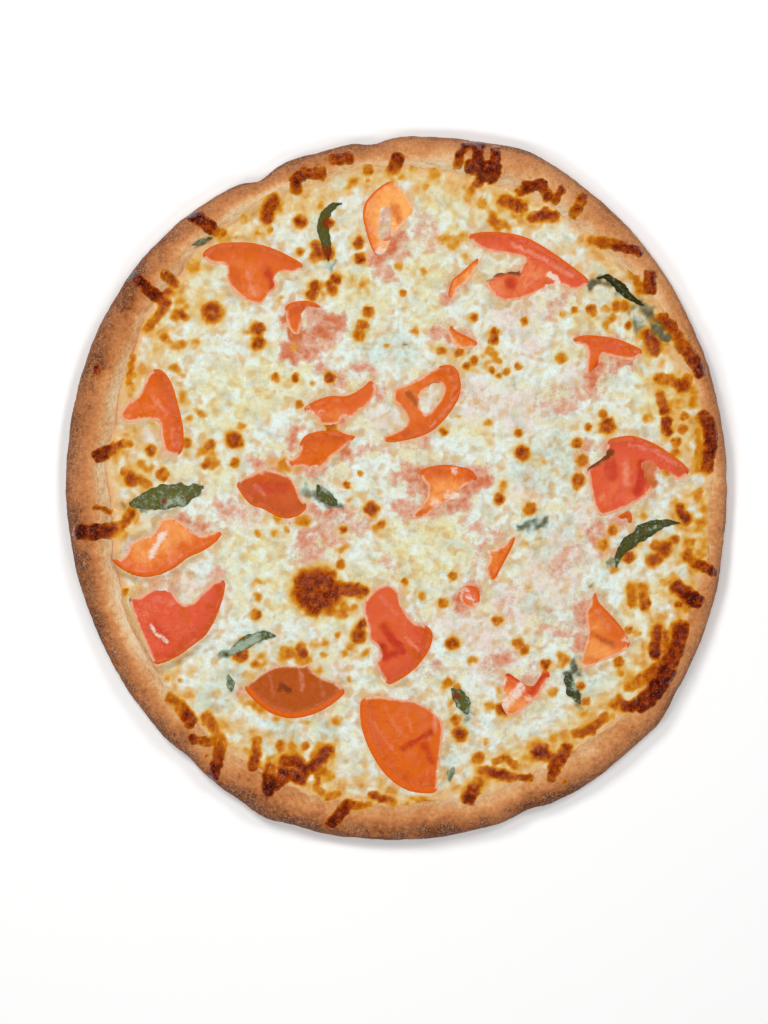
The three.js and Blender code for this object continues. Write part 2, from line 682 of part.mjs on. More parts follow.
function buildPizza() {
  const pizza = new THREE.Group();
  const pockets = [];
  SLICES.forEach((slice, index) => {
    const { piece, pocket } = sliceMeshes(slice);
    pockets.push(solidOf(pocket.geometry, pocket.matrix));
    pizza.add(named(piece, `tomato_slice_${index + 1}`));
  });
  LEAVES.forEach((leaf, index) => {
    const halfThick = LEAF_THICKNESS / 2;
    const blade = sheetGeometry(leafGrid(leaf, 0), halfThick, halfThick);
    pockets.push(solidOf(sheetGeometry(leafGrid(leaf, POCKET_GAP), halfThick + GAP, POCKET_HEIGHT)));
    pizza.add(named(new THREE.Mesh(blade, finish('basil')), `basil_leaf_${index + 1}`));
  });
  pizza.add(named(new THREE.Mesh(crustGeometry(), finish('crust')), 'crust'));
  pizza.add(named(new THREE.Mesh(cheeseGeometry(pockets), finish('cheese')), 'cheese'));
  const box = new THREE.Box3().setFromObject(pizza);
  const centre = box.getCenter(new THREE.Vector3());
  pizza.position.set(-centre.x, -centre.y, 0);
  pizza.updateMatrixWorld(true);
  return pizza;
}

export default buildPizza();
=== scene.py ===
"""Margherita pizza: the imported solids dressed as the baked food, under soft light, seen from above.

Tables and formulas are in millimetres in the plan of the pizza, x to the right and y upwards from
the middle of its round outline. Meshes are written in metres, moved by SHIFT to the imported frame.
"""

import logging
import math
from dataclasses import dataclass, field
from enum import Enum
from functools import partial, reduce
from typing import Callable, Sequence

import bpy
import numpy as np
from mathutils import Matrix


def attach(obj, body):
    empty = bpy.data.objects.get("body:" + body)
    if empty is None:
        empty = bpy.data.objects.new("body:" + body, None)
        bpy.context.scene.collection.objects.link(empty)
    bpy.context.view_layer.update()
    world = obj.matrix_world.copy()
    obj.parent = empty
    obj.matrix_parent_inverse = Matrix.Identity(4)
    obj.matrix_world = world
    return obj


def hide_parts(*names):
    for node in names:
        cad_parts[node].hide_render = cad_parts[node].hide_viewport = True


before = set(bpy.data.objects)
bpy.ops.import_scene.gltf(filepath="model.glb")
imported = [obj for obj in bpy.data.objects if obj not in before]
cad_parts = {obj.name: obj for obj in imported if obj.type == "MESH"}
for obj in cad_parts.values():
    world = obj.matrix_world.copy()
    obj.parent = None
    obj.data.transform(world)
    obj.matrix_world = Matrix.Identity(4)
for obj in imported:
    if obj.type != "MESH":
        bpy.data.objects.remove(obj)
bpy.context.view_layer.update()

Array = np.ndarray
Point = tuple[float, float]
Row = tuple[float | tuple[float, ...], ...]
Rgb = tuple[int, int, int]
Socket = bpy.types.NodeSocket

LOG = logging.getLogger("pizza")
MM = 0.001
CREST = 19.05  # mm, heights above this are pressed down so that the top stays under the CAD's
SHIFT = (0.2865, 0.4494)
BODY = "root"
BLUNT = 2.8  # power of the distance past a line's end that makes the end square with round corners


# ---- numbers on arrays ----


def smooth(start: float, end: float, value: Array) -> Array:
    """Smooth step from 0 at start to 1 at end: 3t^2 - 2t^3 of the clipped share t of the way."""
    share = np.clip((value - start) / (end - start), 0.0, 1.0)
    return share * share * (3.0 - 2.0 * share)


class Grain:
    """Seeded gradient noise over the plane, about -1 to 1."""

    SIDE = 256

    def __init__(self, seed: int) -> None:
        """Draws one direction for each corner of the lattice."""
        turns = np.random.default_rng(seed).uniform(0.0, 2.0 * np.pi, (self.SIDE, self.SIDE))
        self.east, self.north = np.cos(turns), np.sin(turns)

    def at(self, x: Array, y: Array, size: float) -> Array:
        """Noise on a lattice.

        Args:
            x: places along X.
            y: places along Y.
            size: lattice pitch, about the width of a lump.

        Returns:
            Quintic blend of the slopes at the corners of each place's cell.
        """
        u, v = x / size, y / size
        column, row = np.floor(u).astype(int), np.floor(v).astype(int)
        u, v = u - column, v - row

        def corner(right: int, up: int) -> Array:
            """Rise of the slope at one corner of the cell."""
            at = ((column + right) % self.SIDE, (row + up) % self.SIDE)
            return self.east[at] * (u - right) + self.north[at] * (v - up)

        across = u * u * u * (u * (u * 6.0 - 15.0) + 10.0)
        upward = v * v * v * (v * (v * 6.0 - 15.0) + 10.0)
        low = corner(0, 0) + across * (corner(1, 0) - corner(0, 0))
        high = corner(0, 1) + across * (corner(1, 1) - corner(0, 1))
        return 1.5 * (low + upward * (high - low))

    def __call__(self, x: Array, y: Array, size: float, layers: int = 3) -> Array:
        """Sum of noises, each half as wide and half as strong as the one before."""
        total = np.zeros_like(x)
        for layer in range(layers):
            share = 0.5**layer
            total += share * self.at(x + 37.0 * layer, y - 19.0 * layer, size * share)
        return total


@dataclass(frozen=True)
class Foot:
    """Nearest point of a bent line: distance, its x and y, and how many corners it lies along."""

    away: Array
    x: Array
    y: Array
    along: Array


def foot_on(x: Array, y: Array, points: Sequence[Point], square: bool = False) -> Foot:
    """Nearest point of a bent line for each place.

    Args:
        x: places along X.
        y: places along Y.
        points: corners of the line, or a single point.
        square: whether a line of some width gets blunt, square ends.

    Returns:
        The foot on the nearest stretch.
    """
    ends = list(points) if len(points) > 1 else [points[0], (points[0][0] + 1e-3, points[0][1])]
    best = [np.full_like(x, np.inf)] + [np.zeros_like(x)] * 3
    for number, ((ax, ay), (bx, by)) in enumerate(zip(ends[:-1], ends[1:])):
        run_x, run_y = bx - ax, by - ay
        length = max(math.hypot(run_x, run_y), 1e-9)
        head_x, head_y = run_x / length, run_y / length
        reach = (x - ax) * head_x + (y - ay) * head_y
        share = np.clip(reach / length, 0.0, 1.0)
        beyond = reach - share * length
        aside = (y - ay) * head_x - (x - ax) * head_y
        if square:
            away = (np.abs(beyond) ** BLUNT + np.abs(aside) ** BLUNT) ** (1 / BLUNT)
        else:
            away = np.hypot(beyond, aside)
        found = (away, ax + share * run_x, ay + share * run_y, number + share)
        nearer = away < best[0]
        best = [np.where(nearer, new, old) for new, old in zip(found, best)]
    return Foot(*best)


@dataclass(frozen=True)
class Stroke:
    """A mark on a surface: a spot or a bent line, its half width and its strength at each corner."""

    half: float
    tones: tuple[float, ...]
    points: tuple[Point, ...]

    def tone(self, along: Array) -> Array:
        """Strength at each place along the line."""
        return np.interp(along, np.linspace(0.0, max(len(self.points) - 1, 1), len(self.tones)), self.tones)


Profile = Callable[[Array, float], Array]


def edge(soft: float, grow: float = 0.0) -> Profile:
    """A flat mark whose border fades over soft to either side of its half width plus grow."""
    return lambda away, half: smooth(half + grow + soft, max(half + grow - soft, 0.0), away)


def mound(reach: float, power: float) -> Profile:
    """A mark strongest in its middle: 1 less a power of the distance in reaches of half widths."""
    return lambda away, half: np.maximum(1.0 - (away / (reach * half)) ** power, 0.0)


def core(inner: float, outer: float) -> Profile:
    """A mark that is flat out to a share of its half width and gone at another."""
    return lambda away, half: smooth(outer * half, inner * half, away)


def within(x: Array, y: Array, points: Array, reach: float) -> Array:
    """Numbers of the places that lie less than reach outside the box round some points."""
    low, high = points.min(axis=0) - reach, points.max(axis=0) + reach
    return np.flatnonzero((x > low[0]) & (x < high[0]) & (y > low[1]) & (y < high[1]))


def paint(
    strokes: Sequence[Stroke],
    x: Array,
    y: Array,
    profile: Profile,
    widest: float = 3.0,
    square: bool = False,
) -> Array:
    """Strongest mark at each place.

    Args:
        strokes: the marks.
        x: places along X.
        y: places along Y.
        profile: strength by distance and half width.
        widest: how far past its half width a mark reaches.
        square: whether lines end squarely.

    Returns:
        The largest of tone times profile.
    """
    value = np.zeros_like(x)
    for stroke in strokes:
        near = within(x, y, np.array(stroke.points), stroke.half + widest)
        if near.size:
            foot = foot_on(x[near], y[near], stroke.points, square)
            value[near] = np.maximum(value[near], stroke.tone(foot.along) * profile(foot.away, stroke.half))
    return value


def spots(tone: float, *numbers: float) -> tuple[Stroke, ...]:
    """Round marks of one strength, given as x, y and radius in turn."""
    threes = zip(numbers[::3], numbers[1::3], numbers[2::3])
    return tuple(Stroke(radius, (tone,), ((x, y),)) for x, y, radius in threes)


def corners(numbers: Sequence[float]) -> tuple[Point, ...]:
    """Points given as x and y in turn."""
    return tuple(zip(numbers[::2], numbers[1::2]))


def lines(*rows: Row) -> tuple[Stroke, ...]:
    """Marks given as half width, strength or strengths from end to end, and each corner's x and y."""
    split = [(half, tones if isinstance(tones, tuple) else (tones,), rest) for half, tones, *rest in rows]
    return tuple(Stroke(half, tones, corners(rest)) for half, tones, rest in split)


def rounded(outline: Sequence[Point], rounds: int = 2, share: float = 0.22) -> Array:
    """Closed outline with its corners cut.

    Args:
        outline: its corners in order.
        rounds: how many times they are cut.
        share: part of each side that a cut takes.

    Returns:
        Rows of x and y.
    """
    loop = np.array(outline, dtype=float)
    for _ in range(rounds):
        following = np.roll(loop, -1, axis=0)
        near, far = loop + share * (following - loop), following + share * (loop - following)
        loop = np.stack([near, far], axis=1).reshape(-1, 2)
    return loop


# ---- meshes ----


class Slot(Enum):
    """The record's material slots."""

    CRUST = "crust"
    CHEESE = "cheese"
    TOMATO = "tomato"
    BASIL = "basil"


@dataclass
class Plan:
    """Squares that cover a flat outline: points, squares, and the directed edges of the border."""

    x: Array
    y: Array
    squares: Array
    border: Array


def cover(
    low: Point,
    high: Point,
    pitch: float,
    distance: Callable[[Array, Array], Array],
    nearest: Callable[[Array, Array], tuple[Array, Array]],
) -> Plan:
    """Even squares inside an outline, with the border points pulled onto it.

    A square is kept where the signed distance at its middle is negative and two neighbours are kept.

    Args:
        low: least x and y.
        high: greatest x and y.
        pitch: side of a square.
        distance: signed distance to the outline, negative inside.
        nearest: nearest point of the outline.

    Returns:
        The plan.
    """
    across = np.arange(low[0] - pitch, high[0] + 2 * pitch, pitch)
    along = np.arange(low[1] - pitch, high[1] + 2 * pitch, pitch)
    x, y = np.meshgrid(across, along, indexing="ij")
    middle_x, middle_y = x[:-1, :-1] + pitch / 2, y[:-1, :-1] + pitch / 2
    kept = distance(middle_x.ravel(), middle_y.ravel()).reshape(middle_x.shape) < 0.0
    kept[[0, -1], :] = False
    kept[:, [0, -1]] = False
    for _ in range(3):
        wide = np.pad(kept, 1)
        sides = wide[:-2, 1:-1].astype(int) + wide[2:, 1:-1] + wide[1:-1, :-2] + wide[1:-1, 2:]
        kept &= sides > 1
    index = np.arange(x.size).reshape(x.shape)
    shared = np.zeros(x.shape, dtype=int)
    for right, up in ((0, 0), (1, 0), (0, 1), (1, 1)):
        shared[right : x.shape[0] - 1 + right, up : x.shape[1] - 1 + up] += kept
    around = (index[:-1, :-1], index[1:, :-1], index[1:, 1:], index[:-1, 1:])
    squares = np.stack([corner[kept] for corner in around], axis=1)
    x, y = x.ravel(), y.ravel()
    rim = np.flatnonzero((shared.ravel() > 0) & (shared.ravel() < 4))
    x[rim], y[rim] = nearest(x[rim], y[rim])
    used, squares = np.unique(squares, return_inverse=True)
    squares = squares.reshape(-1, 4)
    edges = np.concatenate([squares[:, [0, 1]], squares[:, [1, 2]], squares[:, [2, 3]], squares[:, [3, 0]]])
    keys = edges[:, 0] * used.size + edges[:, 1]
    back = edges[:, 1] * used.size + edges[:, 0]
    border = edges[~np.isin(keys, back)]
    return Plan(x[used], y[used], squares, border)


def make_piece(
    name: str,
    points: Array,
    faces: Sequence[Array],
    marks: dict[str, Array],
    material: bpy.types.Material,
    flat: int = 0,
) -> bpy.types.Object:
    """A smooth-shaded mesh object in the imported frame, riding on the pizza's body.

    Args:
        name: the piece's name.
        points: rows of x, y and z in millimetres.
        faces: arrays of corner numbers, one for each number of corners.
        marks: a value for each point, by attribute name.
        material: its finish.
        flat: how many of the last faces are hidden walls that shade flat.

    Returns:
        The object.
    """
    mesh = bpy.data.meshes.new(name)
    order = np.concatenate([group.ravel() for group in faces]).astype(np.int32)
    totals = np.concatenate([np.full(len(group), group.shape[1]) for group in faces])
    placed = points + np.array([*SHIFT, 0.0])
    placed[:, 2] = np.where(placed[:, 2] > CREST, CREST + np.tanh(placed[:, 2] - CREST), placed[:, 2])
    placed *= MM
    mesh.vertices.add(len(points))
    mesh.vertices.foreach_set("co", placed.astype(np.float32).ravel())
    mesh.loops.add(order.size)
    mesh.loops.foreach_set("vertex_index", order)
    mesh.polygons.add(totals.size)
    starts = np.concatenate([[0], np.cumsum(totals)[:-1]])
    mesh.polygons.foreach_set("loop_start", starts.astype(np.int32))
    mesh.polygons.foreach_set("loop_total", totals.astype(np.int32))
    for label, values in marks.items():
        layer = mesh.attributes.new(label, "FLOAT", "POINT")
        layer.data.foreach_set("value", np.asarray(values, dtype=np.float32))
    mesh.update(calc_edges=True)
    mesh.validate()
    mesh.polygons.foreach_set("use_smooth", np.arange(len(mesh.polygons)) < len(mesh.polygons) - flat)
    mesh.materials.append(material)
    piece = bpy.data.objects.new(name, mesh)
    bpy.context.scene.collection.objects.link(piece)
    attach(piece, BODY)
    triangles = int((totals - 2).sum())
    LOG.info("%s: %d points, %d triangles", name, len(points), triangles)
    return piece


# ---- the form of dough and cheese ----


@dataclass(frozen=True)
class Wave:
    """One wave of a radius round the pizza: waves per turn, height, and the angle of a crest."""

    count: int
    swing: float
    peak: float


@dataclass(frozen=True)
class Bump:
    """A local bulge or dent of the outline: its angle, height and width in degrees."""

    at: float
    reach: float
    width: float


@dataclass(frozen=True)
class Section:
    """Radii and height of the rim at some angles."""

    outer: Array
    covered: Array
    crown: Array
    foot: Array
    height: Array


@dataclass(frozen=True)
class Form:
    """The sizes that the crust and the cheese share with the solids."""

    crust_radius: float = 178.7
    crust_waves: tuple[Wave, ...] = (
        Wave(1, 1.2, -24), Wave(2, 5.5, 91), Wave(3, 1.4, 57), Wave(4, 1.6, 58), Wave(6, 0.7, 13),
    )
    crust_bumps: tuple[Bump, ...] = (
        Bump(68, 2.4, 6), Bump(94, -1.8, 2.5), Bump(114, -3.4, 3), Bump(232, -1.6, 3),
        Bump(248, 1.6, 4), Bump(292, -1.6, 3), Bump(318, 1.6, 4),
    )
    cheese_radius: float = 161.9
    cheese_waves: tuple[Wave, ...] = (
        Wave(1, 5.3, 5), Wave(2, 4.7, 91), Wave(3, 1.5, 112), Wave(4, 0.7, 50), Wave(13, 0.8, 9),
        Wave(23, 0.9, 3),
    )
    puffs: tuple[Wave, ...] = (Wave(7, 0.7, 20), Wave(12, 0.6, 11), Wave(19, 0.5, 4))
    base: float = 6.5
    waist: float = 8.0
    rim_low: float = 14.0
    rim_rise: float = 0.18
    crown_inset: float = 4.0
    crown_shift: float = 0.35
    inner_run: float = 18.0
    foot_cover: float = 8.0
    level: float = 12.0
    blend: float = 1.2
    puff: float = 0.7
    dimple: float = 0.32
    crag: float = 0.16
    lumps: tuple[tuple[float, float, float, float], ...] = (
        (0.11, 0.03, 1.3, 0.35), (-0.05, 0.13, 0.4, 0.3), (0.16, 0.12, 2.2, 0.22), (0.14, -0.17, 4.1, 0.2),
    )

    @staticmethod
    def wavy(mean: Array | float, waves: Sequence[Wave], angle: Array) -> Array:
        """A mean plus the cosine of each wave."""
        return mean + sum(w.swing * np.cos(w.count * (angle - math.radians(w.peak))) for w in waves)

    def outer(self, angle: Array) -> Array:
        """Radius of the crust: a wavy circle plus a bell curve for each bump."""
        radius = self.wavy(self.crust_radius, self.crust_waves, angle)
        for bump in self.crust_bumps:
            away = np.mod(angle - math.radians(bump.at) + np.pi, 2 * np.pi) - np.pi
            radius = radius + bump.reach * np.exp(-((away / math.radians(bump.width)) ** 2))
        return radius

    def covered(self, angle: Array) -> Array:
        """Radius out to which the cheese lies."""
        return self.wavy(self.cheese_radius, self.cheese_waves, angle)

    def section(self, angle: Array) -> Section:
        """The rim's sizes: wider and taller where the cheese leaves more of it bare."""
        outer, covered = self.outer(angle), self.covered(angle)
        bare = outer - covered
        crown = outer - self.crown_inset - self.crown_shift * bare
        foot = np.minimum(crown - self.inner_run, covered - self.foot_cover)
        height = self.wavy(self.rim_low + self.rim_rise * bare, self.puffs, angle)
        return Section(outer, covered, crown, foot, height)

    def slope(self, radius: Array, s: Section) -> Array:
        """Height of the dough inside its crown: half a cosine down to its floor."""
        fall = np.clip((s.crown - radius) / (s.crown - s.foot), 0.0, 1.0)
        return self.base + (s.height - self.base) * (1.0 + np.cos(np.pi * fall)) / 2.0

    def dough_top(self, radius: Array, angle: Array) -> Array:
        """Height of the dough: a quarter ellipse outside the crown, the slope inside it."""
        s = self.section(angle)
        out = np.clip((radius - s.crown) / (s.outer - s.crown), 0.0, 1.0)
        shoulder = self.waist + (s.height - self.waist) * np.sqrt(1.0 - out * out)
        return np.where(radius > s.crown, shoulder, self.slope(radius, s))

    def swell(self, x: Array, y: Array, height: Array, radius: Array, s: Section) -> Array:
        """Uneven puffing of the baked rim, none under the cheese.

        Args:
            x: places along X.
            y: places along Y.
            height: height of the smooth dough.
            radius: distance from the middle.
            s: the rim's sizes.

        Returns:
            Sum of slow puffs, dimples and fine crags.
        """
        share = (radius - s.covered + 2.0) / (s.outer - s.covered + 2.0)
        shows = smooth(0.5, 6.0, height) * smooth(0.0, 0.25, share)
        puff = DOUGH_GRAIN(x + height, y - height, 21.0, 2)
        dimple = DOUGH_GRAIN(x + 1.7 * height, y + 1.3 * height, 6.0, 3)
        crag = DOUGH_GRAIN(x - 2.0 * height, y + 90.0, 2.4, 2)
        return shows * (self.puff * puff + self.dimple * dimple + self.crag * crag)

    def cheese_level(self, x: Array, y: Array, skin: Array | float = 1.6) -> Array:
        """Height of the cheese.

        Args:
            x: places along X.
            y: places along Y.
            skin: its thickness on the rim.

        Returns:
            Smooth maximum of a lumpy level and a skin over the dough.
        """
        level = self.level + sum(
            swing * np.sin(across * x + along * y + shift) for across, along, shift, swing in self.lumps
        )
        radius, angle = np.hypot(x, y), np.arctan2(y, x)
        dough = self.dough_top(radius, angle)
        draped = dough + self.swell(x, y, dough, radius, self.section(angle)) + skin
        overlap = np.maximum(self.blend - np.abs(level - draped), 0.0)
        return np.maximum(level, draped) + overlap * overlap / (4.0 * self.blend)


DOUGH_GRAIN = Grain(29)
FORM = Form()


# ---- what lies where ----


@dataclass(frozen=True)
class Slice:
    """One tomato slice: outline, how it lies, its colour, and the marks on its cut face."""

    skin: tuple[Point, ...]
    cut: tuple[Point, ...]
    bay: tuple[Point, ...] = ()
    sunk: float = 0.0
    redness: float = 0.4
    toasted: float = 0.0
    light: float = 0.0
    peel: float = 1.6
    red: tuple[Stroke, ...] = ()
    gold: tuple[Stroke, ...] = ()
    pale: tuple[Stroke, ...] = ()
    scorch: tuple[Stroke, ...] = ()
    film: tuple[Stroke, ...] = ()


def tomato(skin: Row, cut: Row, bay: Row = (), **traits: float | tuple[Row, ...]) -> Slice:
    """A slice from outlines given as x and y in turn, and marks given as rows for lines."""
    given = {name: lines(*rows) if isinstance(rows, tuple) else rows for name, rows in traits.items()}
    return Slice(corners(skin), corners(cut), corners(bay), **given)


